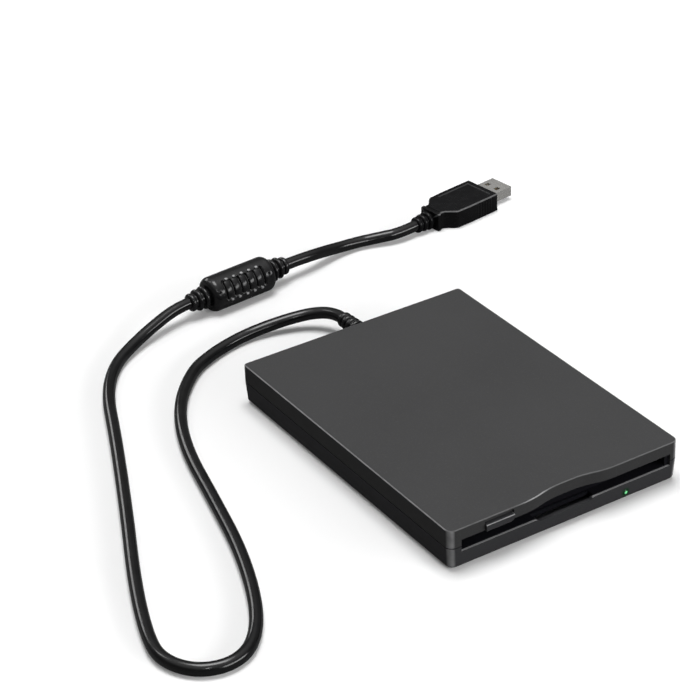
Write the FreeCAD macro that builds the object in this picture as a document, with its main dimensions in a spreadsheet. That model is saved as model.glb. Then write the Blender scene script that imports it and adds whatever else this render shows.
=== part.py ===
import FreeCAD, Part
import math
import os
import re
import Sketcher

# External floppy disk drive, in millimetres.
# X runs to the right seen from the slot, Y from the slot to the cord, Z up.
# The origin is on the table, under the middle of the case.

SIZES = {
    # the disk that the drive takes, and its play in the bay
    "disk_width": 90.0, "disk_length": 94.0, "disk_thick": 3.3, "disk_play": 0.6, "bay_play": 0.9,
    # case
    "case_wall": 1.6, "case_draft": 0.5, "parting_rise": 1.6, "parting_gap": 0.45,
    "drive_gap": 1.9, "mouth_depth": 9.0, "rear_room": 12.4, "roof_gap": 0.5,
    "front_corner": 3.0, "back_corner": 1.5, "top_round": 0.5, "bottom_round": 1.5,
    "rim_thick": 0.7, "rim_rise": 1.0, "rim_play": 0.1, "rim_end": 4.0,
    "wave_depth": 2.4, "wave_left": -20.0, "wave_crest_left": -1.0,
    "wave_crest_right": 4.0, "wave_right": 22.0,
    "foot_height": 0.8, "foot_recess": 0.4, "foot_radius": 4.5, "foot_inset": 11.5, "foot_setback": 15.0,
    "plate_width": 52.0, "plate_depth": 30.0, "plate_recess": 0.3,
    "hook_width": 6.0, "hook_thick": 0.8, "hook_toe": 0.4, "hook_setback": 7.0, "hook_drop": 2.8,
    "hook_gap": 0.35, "hook_play": 0.1,
    "boss_inset": 5.4, "boss_side_inset": 7.5, "boss_radius": 2.6,
    "screw_radius": 1.0, "screw_head": 1.9, "screw_head_thick": 0.7, "screw_fit": 0.02,
    "driver_slot": 0.3, "case_screw_length": 8.0, "drive_screw_length": 2.4, "drive_screw_inset": 4.0,
    "drive_screw_front": 14.0, "drive_screw_rear": 29.0, "seat_radius": 3.0,
    # slot, its inner frame and the dust flap
    "slot_over_left": 0.7, "slot_over_right": 2.0, "slot_margin": 0.4,
    "notch_left": -13.5, "notch_right": 12.5, "notch_depth": 1.0, "notch_slope": 1.5,
    "frame_setback": 1.0, "frame_back": 5.0, "flange_thick": 1.0, "flange_over": 1.2,
    "frame_play": 0.1, "ear_thick": 1.0, "ear_depth": 1.7,
    "flap_thick": 0.8, "flap_axis_rise": 0.8, "flap_axis_setback": 0.7, "flap_barrel": 0.6,
    "flap_overlap": 0.3, "flap_pin": 0.45, "flap_pin_length": 1.1, "pivot_play": 0.05,
    # eject button and lamp
    "pocket_inset": 10.1, "pocket_width": 12.8, "web_thick": 0.6, "button_hole": 2.1,
    "button_gap": 0.15, "button_proud": 1.1, "button_chin": 0.8, "button_corner": 0.9,
    "button_toe": 2.1, "button_round": 0.5, "button_bevel": 0.35,
    "pocket_rise": 1.6, "pocket_recess": 0.9, "stem_width": 8.0, "stem_thick": 1.1,
    "stem_back": 14.0, "stem_peg": 0.8,
    "lamp_inset": 20.4, "lamp_rise": 1.3, "lamp_radius": 1.1, "lamp_flange": 1.25, "lamp_length": 3.6,
    # drive mechanism
    "drive_lift": 0.2, "drive_height": 12.4, "drive_tail": 8.4,
    "chassis_floor": 0.8, "chassis_wall": 0.8, "rear_wall_rise": 5.1, "bay_rise": 4.6,
    "cover_sheet": 0.4, "cover_flange": 4.0, "cover_window": 9.0,
    "sheet": 0.5, "holder_lip": 3.6, "holder_front": 2.5, "holder_over": 1.9,
    "head_window": 7.5, "tab_width": 3.5, "tab_length": 7.0,
    "pin_radius": 0.9, "pin_rise": 2.1, "front_pin": 17.0, "rear_pin_inset": 11.5,
    "eject_travel": 4.0, "holder_drop": 2.0,
    "slider_gap": 0.35, "slider_play": 0.25, "slider_over": 0.6, "slider_low": 1.4, "slider_front": 3.0,
    "slider_short": 2.5, "slider_strip": 3.5, "slider_bridge": 10.0,
    "push_turns": 16, "push_pitch": 0.9, "push_radius": 0.8, "push_wire": 0.17, "push_inset": 1.5,
    "lever_inset": 4.6, "lever_rear": 34.4, "lever_reach": 26.0, "lever_rest_angle": 205.0,
    "lever_swing_angle": 60.8, "lever_thick": 0.4, "lever_width": 3.0, "lever_tip": 1.1,
    "lever_tip_drop": 3.0, "lever_lift": 0.1, "lever_pivot_radius": 1.2, "lever_pivot_head": 2.0,
    "lever_post": 1.25, "lever_head_thick": 0.35, "hairpin_wire": 0.15,
    "hairpin_gap": 0.3, "hairpin_leg": 2.2, "hairpin_sweep": 200.0,
    # spindle
    "spindle_setback": 44.6, "board_thick": 0.8, "stator_radius": 23.0, "coil_ring": 14.5,
    "coil_radius": 4.2, "coil_core": 1.4, "coil_height": 0.6, "coil_count": 9,
    "rotor_radius": 19.5, "rotor_sheet": 0.4, "rotor_gap": 0.2, "magnet_thick": 0.4,
    "magnet_inner": 10.0, "magnet_fit": 0.05, "hub_radius": 11.5, "hub_thick": 0.8, "shaft_radius": 2.0,
    "shaft_above": 0.9, "bearing_radius": 4.2, "bearing_height": 2.6, "running_fit": 0.05,
    "drive_pin_ring": 9.2, "drive_pin_radius": 1.0, "drive_pin_rise": 0.8, "tail_width": 12.0,
    # heads and their drive
    "outer_track": 39.5, "head_travel": 14.8, "head_gap": 0.05, "head_clear": 0.2,
    "head_width": 6.0, "head_length": 4.0, "arm_reach": 26.5, "hinge_rise": 1.8, "arm_step": 0.3,
    "arm_width": 10.0, "arm_thick": 0.6, "knuckle_radius": 1.4,
    "hinge_radius": 0.7, "lift_pin_radius": 0.5,
    "sled_rise": 1.2, "sled_thick": 1.3, "sled_width": 11.0,
    "block_ahead": 2.6, "block_behind": 4.9, "ear_gap": 0.15, "ear_width": 1.5,
    "rod_x": 13.5, "rod_rise": 3.1, "rod_radius": 1.25, "post_thick": 1.0, "post_clear": 0.2,
    "screw_x": -14.0, "screw_rise": 4.6, "lead_screw_radius": 1.0, "screw_pitch": 3.0,
    "thread_depth": 0.25, "follower_thick": 1.2, "follower_room": 1.0, "bracket_room": 2.5,
    "motor_radius": 4.5, "motor_play": 0.1, "bracket_sheet": 0.8, "bracket_width": 10.0,
    # boards
    "board_inset": 3.7, "front_strip": 10.0, "side_strip": 10.0, "rear_board_gap": 3.25,
    "rear_board_length": 50.0, "board_margin": 1.0,
    "plunger_inset": 6.0, "media_pitch": 6.6, "plunger_y": 6.4, "plunger_radius": 0.9,
    "plunger_travel": 1.4, "switch_width": 4.6, "switch_depth": 4.6, "switch_height": 1.7,
    "sensor_width": 6.0, "sensor_depth": 5.0, "sensor_height": 5.0, "flag_thick": 0.6,
    "flag_rise": 3.4, "connector_width": 14.0, "connector_depth": 4.0, "connector_height": 1.4,
    "connector_inset": 0.8, "ribbon_margin": 1.0, "ribbon_thick": 0.2,
    "usb_board_width": 80.0, "usb_board_rise": 1.6, "board_gap": 1.6, "board_play": 0.2, "chip_height": 1.1,
    "main_chip": 12.0, "motor_chip": 7.0, "small_chip": 5.0, "chip_gap": 1.5,
    "post_inset": 4.0, "post_margin": 0.3, "post_radius": 1.4,
    # cord, ferrite and plug
    "cord_radius": 2.5, "cord_x": 7.3, "cord_rise": 6.3, "lead_in": 12.0, "lead_out": 11.0,
    "core_wire": 0.35, "core_pitch": 1.0,
    "relief_neck": 2.95, "relief_root": 3.7, "relief_tip": 2.9, "relief_length": 19.8,
    "relief_flange": 4.2, "relief_flange_thick": 1.6, "relief_ring": 0.35, "relief_rib": 1.6,
    "relief_rings": 6.2,
    "ferrite_radius": 7.6, "ferrite_length": 32.0, "ferrite_round": 2.4, "cover_wall": 1.4,
    "cover_end": 2.5, "ferrite_relief": 9.0, "ferrite_collar": 3.6, "collar_wall": 0.5,
    "collar_ring": 2.0, "collar_ring_inset": 1.0, "collar_ring_pitch": 4.0, "collar_ring_rise": 0.3,
    "collar_ring_step": 0.6, "groove_width": 0.9, "groove_depth": 0.7, "groove_pitch": 3.4,
    "ferrite_x": -12.0, "ferrite_y": 143.4, "ferrite_angle": 5.1,
    "plug_width": 19.4, "plug_thick": 8.6, "plug_length": 30.5, "plug_waist": 10.4,
    "plug_body": 24.0, "plug_neck": 1.5, "plug_collar": 4.2, "plug_relief": 11.0, "plug_round": 0.9,
    "plug_bend": 3.6, "panel_start": 3.0, "panel_inset": 0.35, "panel_margin": 2.4,
    "plug_ring": 1.5, "plug_ring_start": 0.3, "plug_ring_pitch": 2.5, "plug_ring_rise": 0.8,
    "plug_ring_step": 0.2,
    "plug_x": 92.0, "plug_y": 148.9, "plug_angle": 8.6,
    "contact_shell_width": 12.0, "contact_shell_height": 4.5, "contact_shell_length": 11.8,
    "contact_shell_sheet": 0.3, "contact_width": 1.0, "contact_pitch": 2.25,
    "contact_thick": 0.15, "tongue_thick": 1.8, "plug_socket": 6.0,
}

# Sizes and places that follow from those above.
# The case is built round the drive, and the drive round the disk.
FORMULAS = {
    "bay_width": "disk_width + 2 * disk_play",
    "bay_height": "disk_thick + bay_play",
    "drive_width": "bay_width + 2 * (2 * sheet + slider_gap + slider_play + chassis_wall)",
    "case_width": "drive_width + 2 * (drive_gap + case_wall)",
    "drive_length": "spindle_setback + outer_track + arm_reach + drive_tail",
    "case_depth": "mouth_depth + drive_length + rear_room + case_wall",
    "deck": "foot_height + case_wall + drive_lift + chassis_floor",
    "bay_floor": "deck + bay_rise",
    "chassis_top": "foot_height + case_wall + drive_lift + drive_height",
    "case_height": "chassis_top + cover_sheet + roof_gap + case_wall",
    "parting_height": "bay_floor + parting_rise",
    "foot_x": "case_width / 2 - foot_inset",
    "foot_y": "case_depth / 2 - foot_setback",
    "hook_low": "parting_height - hook_drop",
    "boss_x": "case_width / 2 - boss_side_inset",
    "drive_screw_x": "drive_width / 2 - drive_screw_inset",
    "drive_screw_back": "drive_length - drive_screw_rear",
    "slot_left": "-(bay_width / 2 + slot_over_left)",
    "slot_right": "bay_width / 2 + slot_over_right",
    "pocket_left": "slot_left + pocket_inset",
    "pocket_right": "slot_left + pocket_inset + pocket_width",
    "lamp_x": "slot_right - lamp_inset",
    "lamp_z": "foot_height + case_wall + lamp_rise",
    "rear_wall_top": "deck + rear_wall_rise",
    "holder_length": "spindle_setback + disk_length / 2 + holder_over - holder_front",
    "rear_pin": "holder_front + holder_length - rear_pin_inset",
    "slider_length": "holder_front + holder_length - slider_front - slider_short",
    "lever_x": "bay_width / 2 - lever_inset",
    "lever_setback": "spindle_setback + lever_rear",
    "head_plane": "bay_floor - holder_drop + disk_thick / 2",
    "arm_rise": "bay_floor + hinge_rise",
    "arm_low": "bay_floor + hinge_rise - arm_step",
    "arm_lift": "bay_floor + bay_height - head_plane + head_clear",
    "sled_low": "deck + sled_rise",
    "carriage_front": "arm_reach - block_ahead",
    "carriage_back": "arm_reach + block_behind",
    "inmost_block": "spindle_setback + outer_track + carriage_front - head_travel",
    "rod_z": "deck + rod_rise",
    "rod_front": "inmost_block - post_clear - post_thick",
    "screw_z": "deck + screw_rise",
    "bracket_front": "inmost_block - follower_room",
    "bracket_length": "head_travel + follower_thick + bracket_room",
    "motor_length": "drive_length - chassis_wall - motor_play - bracket_front - bracket_length",
    "board_side": "bay_width / 2 - board_inset",
    "rear_board_left": "rod_x + rod_radius + rear_board_gap",
    "rear_board_front": "drive_length - rear_board_length",
    "plunger_x": "bay_width / 2 - plunger_inset",
    "media_x": "plunger_x - media_pitch",
    "usb_board_front": "mouth_depth - case_depth / 2 + drive_length + board_gap",
    "usb_board_depth": "rear_room - board_gap - 0.65 * case_draft - relief_flange_thick - board_play",
    "post_x": "usb_board_width / 2 - post_inset",
    "post_front": "usb_board_front + post_radius + post_margin",
    "post_back": "usb_board_front + usb_board_depth - post_radius - post_margin",
    "cord_z": "foot_height + case_wall + cord_rise",
    "core_radius": "ferrite_radius - cover_wall",
    "core_length": "ferrite_length - 2 * cover_end",
}

doc = FreeCAD.newDocument("floppy_drive")
sheet = doc.addObject("Spreadsheet::Sheet", "Sizes")
for row, (alias, size) in enumerate(SIZES.items(), 1):
    sheet.set("A%d" % row, alias)
    sheet.set("B%d" % row, str(size))
    sheet.setAlias("B%d" % row, alias)
doc.recompute()

# Planes and axes that several pieces share.
FRONT = "(-case_depth / 2)"
BACK = "(case_depth / 2)"
SIDE = "(case_width / 2)"
SLOT_LOW = "(bay_floor - slot_margin)"
SLOT_TOP = "(bay_floor + bay_height + slot_margin)"
BAY_TOP = "(bay_floor + bay_height)"
ROOF = "(case_height - case_wall)"
FLOOR = "(foot_height + case_wall)"
BASE = "(foot_height + case_wall + drive_lift)"
DECK = "(deck)"
DRIVE_FRONT = "(mouth_depth - case_depth / 2)"
DRIVE_BACK = "(mouth_depth - case_depth / 2 + drive_length)"
DRIVE_SIDE = "(drive_width / 2)"
BAY_SIDE = "(bay_width / 2)"
HOLDER_TOP = "(bay_floor + bay_height + sheet)"
SPINDLE_Y = "(mouth_depth - case_depth / 2 + spindle_setback)"
HEAD_Y = "(mouth_depth - case_depth / 2 + spindle_setback + outer_track)"
ARM_PIVOT = "(mouth_depth - case_depth / 2 + spindle_setback + outer_track + arm_reach)"
FLANGE_BACK = "(frame_back - case_depth / 2)"
RELIEF_START = "(case_depth / 2 - case_wall - 0.65 * case_draft - relief_flange_thick)"
FLAP_Y = "(frame_back - case_depth / 2 + flap_axis_setback)"
FLAP_Z = "(bay_floor + bay_height + flap_axis_rise)"
BUTTON_LOW = "(bay_floor + bay_height + slot_margin + web_thick)"
BUTTON_TOP = "(bay_floor + bay_height + slot_margin + web_thick + button_hole)"
SLIDER_TOP = "(bay_floor + bay_height + sheet + slider_over + sheet)"
SLIDER_SIDE = "(bay_width / 2 + sheet + slider_gap + sheet)"
BOARD_TOP = "(deck + board_thick)"
COIL_TOP = "(deck + board_thick + coil_height)"
ROTOR_LOW = "(deck + board_thick + coil_height + rotor_gap + magnet_thick)"
ROTOR_TOP = "(deck + board_thick + coil_height + rotor_gap + magnet_thick + rotor_sheet)"

nodes = []


def written_out(formula, prefix=""):
    """The formula with each name in FORMULAS replaced by its formula, and a prefix on each size's name."""
    def swap(word):
        name = word.group()
        if name in FORMULAS:
            return "(%s)" % written_out(FORMULAS[name], prefix)
        return prefix + name if name in SIZES else name
    return re.sub(r"[a-z][a-z_]*", swap, str(formula))


def sized(formula):
    """The formula as an expression that reads the sheet."""
    return written_out(formula, "Sizes.")


def number(formula):
    """The formula's value now, for code that needs a plain number."""
    found = sheet.evalExpression(written_out(formula))
    return float(getattr(found, "Value", found))


def bind(piece, **formulas):
    """Bind properties to formulas. Place, turn and other paths are written with two underscores for a dot."""
    for path, formula in formulas.items():
        piece.setExpression(path.replace("__", "."), sized(formula))
    return piece


def place(piece, x=0, y=0, z=0, axis=None, turn=None):
    """Bind a piece's Placement, with a turn in degrees about an axis through its own origin."""
    bind(piece, Placement__Base__x=x, Placement__Base__y=y, Placement__Base__z=z)
    if axis is not None:
        piece.Placement.Rotation = FreeCAD.Rotation(FreeCAD.Vector(*axis), number(turn))
        bind(piece, Placement__Rotation__Angle=turn)
    return piece


def node(piece, label):
    """Name a finished sub-part. Its Label is its file's name."""
    piece.Label = label
    nodes.append(piece)
    return piece


def block(low, high):
    """A box from its low corner to its high corner."""
    box = doc.addObject("Part::Box", "Block")
    bind(box, Length="%s - (%s)" % (high[0], low[0]), Width="%s - (%s)" % (high[1], low[1]),
         Height="%s - (%s)" % (high[2], low[2]))
    return place(box, *low)


def rod(start, length, radius, along="z"):
    """A round bar that runs from start in the + direction of an axis."""
    bar = doc.addObject("Part::Cylinder", "Rod")
    bind(bar, Radius=radius, Height=length)
    place(bar, *start)
    turned = {"x": (0, 1, 0, 90), "y": (1, 0, 0, -90), "z": (0, 0, 1, 0)}[along]
    bar.Placement.Rotation = FreeCAD.Rotation(FreeCAD.Vector(*turned[:3]), turned[3])
    return bar


def cone(start, length, first, last, along="z"):
    """A truncated cone that runs from start in the + direction of an axis."""
    bar = doc.addObject("Part::Cone", "Cone")
    bind(bar, Radius1=first, Radius2=last, Height=length)
    place(bar, *start)
    turned = {"x": (0, 1, 0, 90), "y": (1, 0, 0, -90), "z": (0, 0, 1, 0)}[along]
    bar.Placement.Rotation = FreeCAD.Rotation(FreeCAD.Vector(*turned[:3]), turned[3])
    return bar


def fuse(*pieces):
    """One solid from several that overlap or touch."""
    joined = doc.addObject("Part::MultiFuse", "Fuse")
    joined.Shapes = list(pieces)
    joined.Refine = True
    return joined


def cut(base, *tools):
    """The base without the tools."""
    left = doc.addObject("Part::Cut", "Cut")
    left.Base = base
    left.Tool = tools[0] if len(tools) == 1 else fuse(*tools)
    left.Refine = True
    return left


def group(*pieces):
    """Separate solids that share one node."""
    held = doc.addObject("Part::Compound", "Group")
    held.Links = list(pieces)
    return held


def edges(piece, wanted):
    """The names of a shape's edges that a test picks."""
    doc.recompute()
    return ["Edge%d" % n for n, edge in enumerate(piece.Shape.Edges, 1) if wanted(edge)]


def upright(edge):
    """Does the edge run mainly along Z?"""
    box = edge.BoundBox
    return box.ZLength > 4 * max(box.XLength, box.YLength)


def rounded(piece, radius, wanted):
    """A Part piece with the picked edges rounded."""
    names = edges(piece, wanted)
    soft = doc.addObject("Part::Fillet", "Fillet")
    soft.Base = piece
    soft.Edges = [(int(name[4:]), number(radius), number(radius)) for name in names]
    return soft


def new_body(name):
    return doc.addObject("PartDesign::Body", name)


def new_sketch(body, plane="XY_Plane", height=0):
    """A sketch on one of the body's own origin planes, raised along the plane's normal."""
    sketch = body.newObject("Sketcher::SketchObject", "Sketch")
    support = next(f for f in body.Origin.OriginFeatures if f.Role == plane)
    sketch.AttachmentSupport = [(support, "")]
    sketch.MapMode = "FlatFace"
    bind(sketch, AttachmentOffset__Base__z=height)
    return sketch


def pin_point(sketch, geometry, point, u, v):
    """Bind one point of a sketch to its distances from the sketch's origin."""
    for kind, formula in (("DistanceX", u), ("DistanceY", v)):
        index = sketch.addConstraint(
            Sketcher.Constraint(kind, -1, 1, geometry, point, number(formula)))
        sketch.setExpression("Constraints[%d]" % index, sized(formula))


def polygon(sketch, points):
    """A closed run of straight lines, with each corner bound to its formulas."""
    first = sketch.GeometryCount
    places = [FreeCAD.Vector(number(u), number(v), 0) for u, v in points]
    count = len(points)
    for n in range(count):
        sketch.addGeometry(Part.LineSegment(places[n], places[(n + 1) % count]))
    for n in range(count):
        sketch.addConstraint(Sketcher.Constraint("Coincident", first + n, 2, first + (n + 1) % count, 1))
    for n, (u, v) in enumerate(points):
        pin_point(sketch, first + n, 1, u, v)
    return sketch


def rectangle(sketch, low, high):
    return polygon(sketch, [low, (high[0], low[1]), high, (low[0], high[1])])


def circle(sketch, u, v, radius):
    """A circle with its centre and radius bound."""
    centre = FreeCAD.Vector(number(u), number(v), 0)
    index = sketch.addGeometry(Part.Circle(centre, FreeCAD.Vector(0, 0, 1), number(radius)))
    pin_point(sketch, index, 3, u, v)
    limit = sketch.addConstraint(Sketcher.Constraint("Radius", index, number(radius)))
    sketch.setExpression("Constraints[%d]" % limit, sized(radius))
    return sketch


def slot(sketch, start, end, radius):
    """A straight slot with round ends, from one centre to the other."""
    first, last = (FreeCAD.Vector(number(u), number(v), 0) for u, v in (start, end))
    side = FreeCAD.Vector(first.y - last.y, last.x - first.x, 0).normalize() * number(radius)
    heading = math.atan2(last.y - first.y, last.x - first.x)
    half = math.pi / 2
    base = sketch.GeometryCount
    up = FreeCAD.Vector(0, 0, 1)
    for centre, begin in ((first, heading + half), (last, heading - half)):
        round_end = Part.Circle(centre, up, number(radius))
        sketch.addGeometry(Part.ArcOfCircle(round_end, begin, begin + math.pi))
    sketch.addGeometry(Part.LineSegment(first - side, last - side))
    sketch.addGeometry(Part.LineSegment(last + side, first + side))
    for arc, end_point, line, line_point in ((0, 2, 2, 1), (2, 2, 1, 1), (1, 2, 3, 1), (3, 2, 0, 1)):
        sketch.addConstraint(Sketcher.Constraint("Tangent", base + arc, end_point, base + line, line_point))
    pin_point(sketch, base, 3, *start)
    pin_point(sketch, base + 1, 3, *end)
    limit = sketch.addConstraint(Sketcher.Constraint("Radius", base, number(radius)))
    sketch.setExpression("Constraints[%d]" % limit, sized(radius))
    return sketch


def pad(body, sketch, length, down=False, taper=None):
    """Add material from a sketch, along its plane's normal or against it."""
    feature = body.newObject("PartDesign::Pad", "Pad")
    feature.Profile = sketch
    bind(feature, Length=length)
    feature.Reversed = down
    if taper is not None:
        bind(feature, TaperAngle=taper)
    return feature


def pocket(body, sketch, length, up=False, taper=None):
    """Take material away. A pocket runs against its plane's normal unless it is turned up."""
    feature = body.newObject("PartDesign::Pocket", "Pocket")
    feature.Profile = sketch
    bind(feature, Length=length)
    feature.Reversed = up
    if taper is not None:
        bind(feature, TaperAngle=taper)
    doc.recompute()
    if feature.Shape.isNull() or not feature.Shape.Volume < feature.BaseFeature.Shape.Volume - 1e-6:
        raise RuntimeError("%s: a pocket took nothing away" % body.Name)
    return feature


def fillet(body, radius, wanted):
    """Round the picked edges of the body as it stands."""
    tip = body.Tip
    names = edges(tip, wanted)
    feature = body.newObject("PartDesign::Fillet", "Fillet")
    feature.Base = (tip, names)
    bind(feature, Radius=radius)
    doc.recompute()
    return feature


def hollow(body, wanted_face):
    """Shell the body to the case's wall, open at the picked face."""
    doc.recompute()
    tip = body.Tip
    names = ["Face%d" % n for n, face in enumerate(tip.Shape.Faces, 1) if wanted_face(face)]
    feature = body.newObject("PartDesign::Thickness", "Thickness")
    feature.Base = (tip, names)
    bind(feature, Value="case_wall")
    feature.Reversed = True
    feature.Join = 1
    doc.recompute()
    return feature


def centre_of(edge):
    return edge.BoundBox.Center


def at_front_corner(edge):
    spot = centre_of(edge)
    return upright(edge) and spot.y < 0 and abs(spot.x) > number("case_width") / 4


def at_back_corner(edge):
    spot = centre_of(edge)
    return upright(edge) and spot.y > 0 and abs(spot.x) > number("case_width") / 4


def sloped_corner(edge):
    """A slanted corner edge of the drafted tray that runs from its bottom to the parting."""
    return edge.BoundBox.ZLength > number("parting_height - foot_height") * 0.75


def rim_strips(grow):
    """The three straight runs of the rim between the shells, each as a low and a high corner."""
    inner = "(case_wall + %s)" % grow
    outer = "(case_wall - rim_thick - %s)" % grow
    near = "(%s + front_corner + rim_end)" % FRONT
    far = "(%s - back_corner - rim_end)" % BACK
    across = "(%s - back_corner - rim_end)" % SIDE
    return [
        (("-%s + %s" % (SIDE, outer), near), ("-%s + %s" % (SIDE, inner), far)),
        (("%s - %s" % (SIDE, inner), near), ("%s - %s" % (SIDE, outer), far)),
        (("-%s" % across, "%s - %s" % (BACK, inner)), (across, "%s - %s" % (BACK, outer))),
    ]


# ---- case

def lower_shell():
    """The bottom tray: drafted walls, the slot's lower lip and the rim that aligns the roof."""
    body = new_body("lower_shell")
    depth = "parting_height - foot_height"
    sketch = rectangle(new_sketch(body, height="parting_height"), ("-" + SIDE, FRONT), (SIDE, BACK))
    pad(body, sketch, depth, down=True, taper="-atan(case_draft / (%s))" % depth)
    doc.recompute()
    well = rectangle(new_sketch(body, height="parting_height"),
                     ("-%s + case_wall" % SIDE, FRONT + " + case_wall"),
                     (SIDE + " - case_wall", BACK + " - case_wall"))
    pocket(body, well, depth + " - case_wall", taper="-atan(case_draft / (%s))" % depth)
    outside = number(BACK + " - case_draft")
    outer = lambda edge: sloped_corner(edge) and abs(centre_of(edge).y) > outside
    fillet(body, "front_corner", lambda edge: outer(edge) and centre_of(edge).y < 0)
    fillet(body, "back_corner", lambda edge: outer(edge) and centre_of(edge).y > 0)
    low = number("foot_height") + 0.01
    fillet(body, "bottom_round", lambda edge: edge.BoundBox.ZMax < low)
    for low_corner, high_corner in rim_strips(0):
        rim = rectangle(new_sketch(body, height="parting_height"), low_corner, high_corner)
        pad(body, rim, "parting_gap + rim_rise")
    lip = new_sketch(body, "XZ_Plane", "-(%s)" % FRONT)
    above = "case_height"
    polygon(lip, [
        ("slot_left", above), ("slot_left", SLOT_LOW), ("notch_left", SLOT_LOW),
        ("notch_left + notch_slope", SLOT_LOW + " - notch_depth"),
        ("notch_right - notch_slope", SLOT_LOW + " - notch_depth"),
        ("notch_right", SLOT_LOW), ("slot_right", SLOT_LOW), ("slot_right", above)])
    pocket(body, lip, "frame_back")
    back_hole = circle(new_sketch(body, "XZ_Plane", "-(%s) + 2 * case_wall" % BACK), "cord_x", "cord_z",
                       "relief_neck + running_fit")
    pocket(body, back_hole, "4 * case_wall", up=False)
    lamp_hole = circle(new_sketch(body, "XZ_Plane", "-(%s) + 1" % FRONT), "lamp_x", "lamp_z", "lamp_radius")
    pocket(body, lamp_hole, "3 * case_wall")
    board_posts = new_sketch(body, height=FLOOR)
    for x in ("post_x", "-post_x"):
        for y in ("post_front", "post_back"):
            circle(board_posts, x, y, "post_radius")
    pad(body, board_posts, "usb_board_rise")
    seats = new_sketch(body, height=FLOOR)
    for x, y in screw_places()[2:]:
        circle(seats, x, y, "seat_radius")
    pad(body, seats, "drive_lift")
    under = new_sketch(body, height="foot_height")
    for x in ("foot_x", "-foot_x"):
        for y in ("foot_y", "-foot_y"):
            circle(under, x, y, "foot_radius")
    pocket(body, under, "foot_recess", up=True)
    plate = rectangle(new_sketch(body, height="foot_height"), ("-plate_width / 2", "-plate_depth / 2"),
                      ("plate_width / 2", "plate_depth / 2"))
    pocket(body, plate, "plate_recess", up=True)
    heads = new_sketch(body, height="foot_height")
    holes = new_sketch(body, height="foot_height")
    for x, y in screw_places():
        circle(heads, x, y, "screw_head + running_fit")
        circle(holes, x, y, "screw_radius + screw_fit")
    pocket(body, heads, "screw_head_thick", up=True)
    pocket(body, holes, "case_wall + drive_lift", up=True)
    catch = new_sketch(body, "XZ_Plane", "-(%s + hook_setback - hook_play)" % FRONT)
    for sign in ("", "-"):
        edge_x = "%s(%s - case_wall)" % (sign, SIDE)
        deep = "%s(%s - case_wall + hook_toe + hook_play)" % (sign, SIDE)
        near_x = "%s(%s - case_wall - hook_thick)" % (sign, SIDE)
        polygon(catch, [(near_x, "hook_low - hook_play"), (deep, "hook_low - hook_play"),
                        (deep, "hook_low + 2 * hook_toe + hook_play"),
                        (edge_x, "hook_low + 2 * hook_toe + hook_play"),
                        (near_x, "hook_low + 2 * hook_toe + hook_play")])
    pocket(body, catch, "hook_width + 2 * hook_play")
    return node(body, "lower_shell")


def screw_places():
    """Centres of the screws under the case: two at the back for the shells, four for the drive."""
    back = "%s - boss_inset" % BACK
    pairs = [(back, "boss_x"), (DRIVE_FRONT + " + drive_screw_front", "drive_screw_x"),
             (DRIVE_FRONT + " + drive_screw_back", "drive_screw_x")]
    return [(sign + x, y) for y, x in pairs for sign in ("-", "")]


def wave_outline(sketch):
    """The roof's plan: a box whose front edge swings inwards at the middle in two S-curves."""
    corners = [("-" + SIDE, FRONT), (SIDE, FRONT), (SIDE, BACK), ("-" + SIDE, BACK)]
    crest = FRONT + " + wave_depth"
    marks = [corners[0], ("wave_left", FRONT), ("wave_crest_left", crest), ("wave_crest_right", crest),
             ("wave_right", FRONT), corners[1], corners[2], corners[3]]
    spots = [FreeCAD.Vector(number(u), number(v), 0) for u, v in marks]
    halfway = {1: (spots[1] + spots[2]) * 0.5, 3: (spots[3] + spots[4]) * 0.5}
    chain = []
    for n in range(len(marks)):
        start, end = spots[n], spots[(n + 1) % len(marks)]
        if n in halfway:
            chain += [quarter_arc(sketch, start, halfway[n], n == 1, True),
                      quarter_arc(sketch, halfway[n], end, n == 1, False)]
        else:
            chain.append((sketch.addGeometry(Part.LineSegment(start, end)), 1, 2))
    for n, (item, first, last) in enumerate(chain):
        following, follow_first, unused_last = chain[(n + 1) % len(chain)]
        smooth = {item, following} & {chain[1][0], chain[2][0], chain[4][0], chain[5][0]}
        kind = "Tangent" if smooth else "Coincident"
        sketch.addConstraint(Sketcher.Constraint(kind, item, last, following, follow_first))
    lines = [chain[n] for n in (0, 1, 3, 4, 6, 7, 8, 9)]
    for (item, first, unused), (u, v) in zip(lines, marks):
        pin_point(sketch, item, first, u, v)
    for n in (1, 4):
        sketch.addConstraint(Sketcher.Constraint("Equal", chain[n][0], chain[n + 1][0]))
    return sketch


def quarter_arc(sketch, start, end, rising, first_half):
    """Half of an S: level at its outer end. Returns the arc with its start and end point numbers."""
    run, rise = end.x - start.x, end.y - start.y
    radius = (run ** 2 + rise ** 2) / (2 * abs(rise))
    level = start if first_half else end
    inward = 1 if rising == first_half else -1
    centre = FreeCAD.Vector(level.x, level.y + inward * radius, 0)
    angles = [math.atan2(spot.y - centre.y, spot.x - centre.x) for spot in (start, end)]
    turned = inward > 0
    low, high = (angles[0], angles[1]) if turned else (angles[1], angles[0])
    arc = Part.ArcOfCircle(Part.Circle(centre, FreeCAD.Vector(0, 0, 1), radius), low, high)
    index = sketch.addGeometry(arc)
    return (index, 1, 2) if turned else (index, 2, 1)


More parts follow.
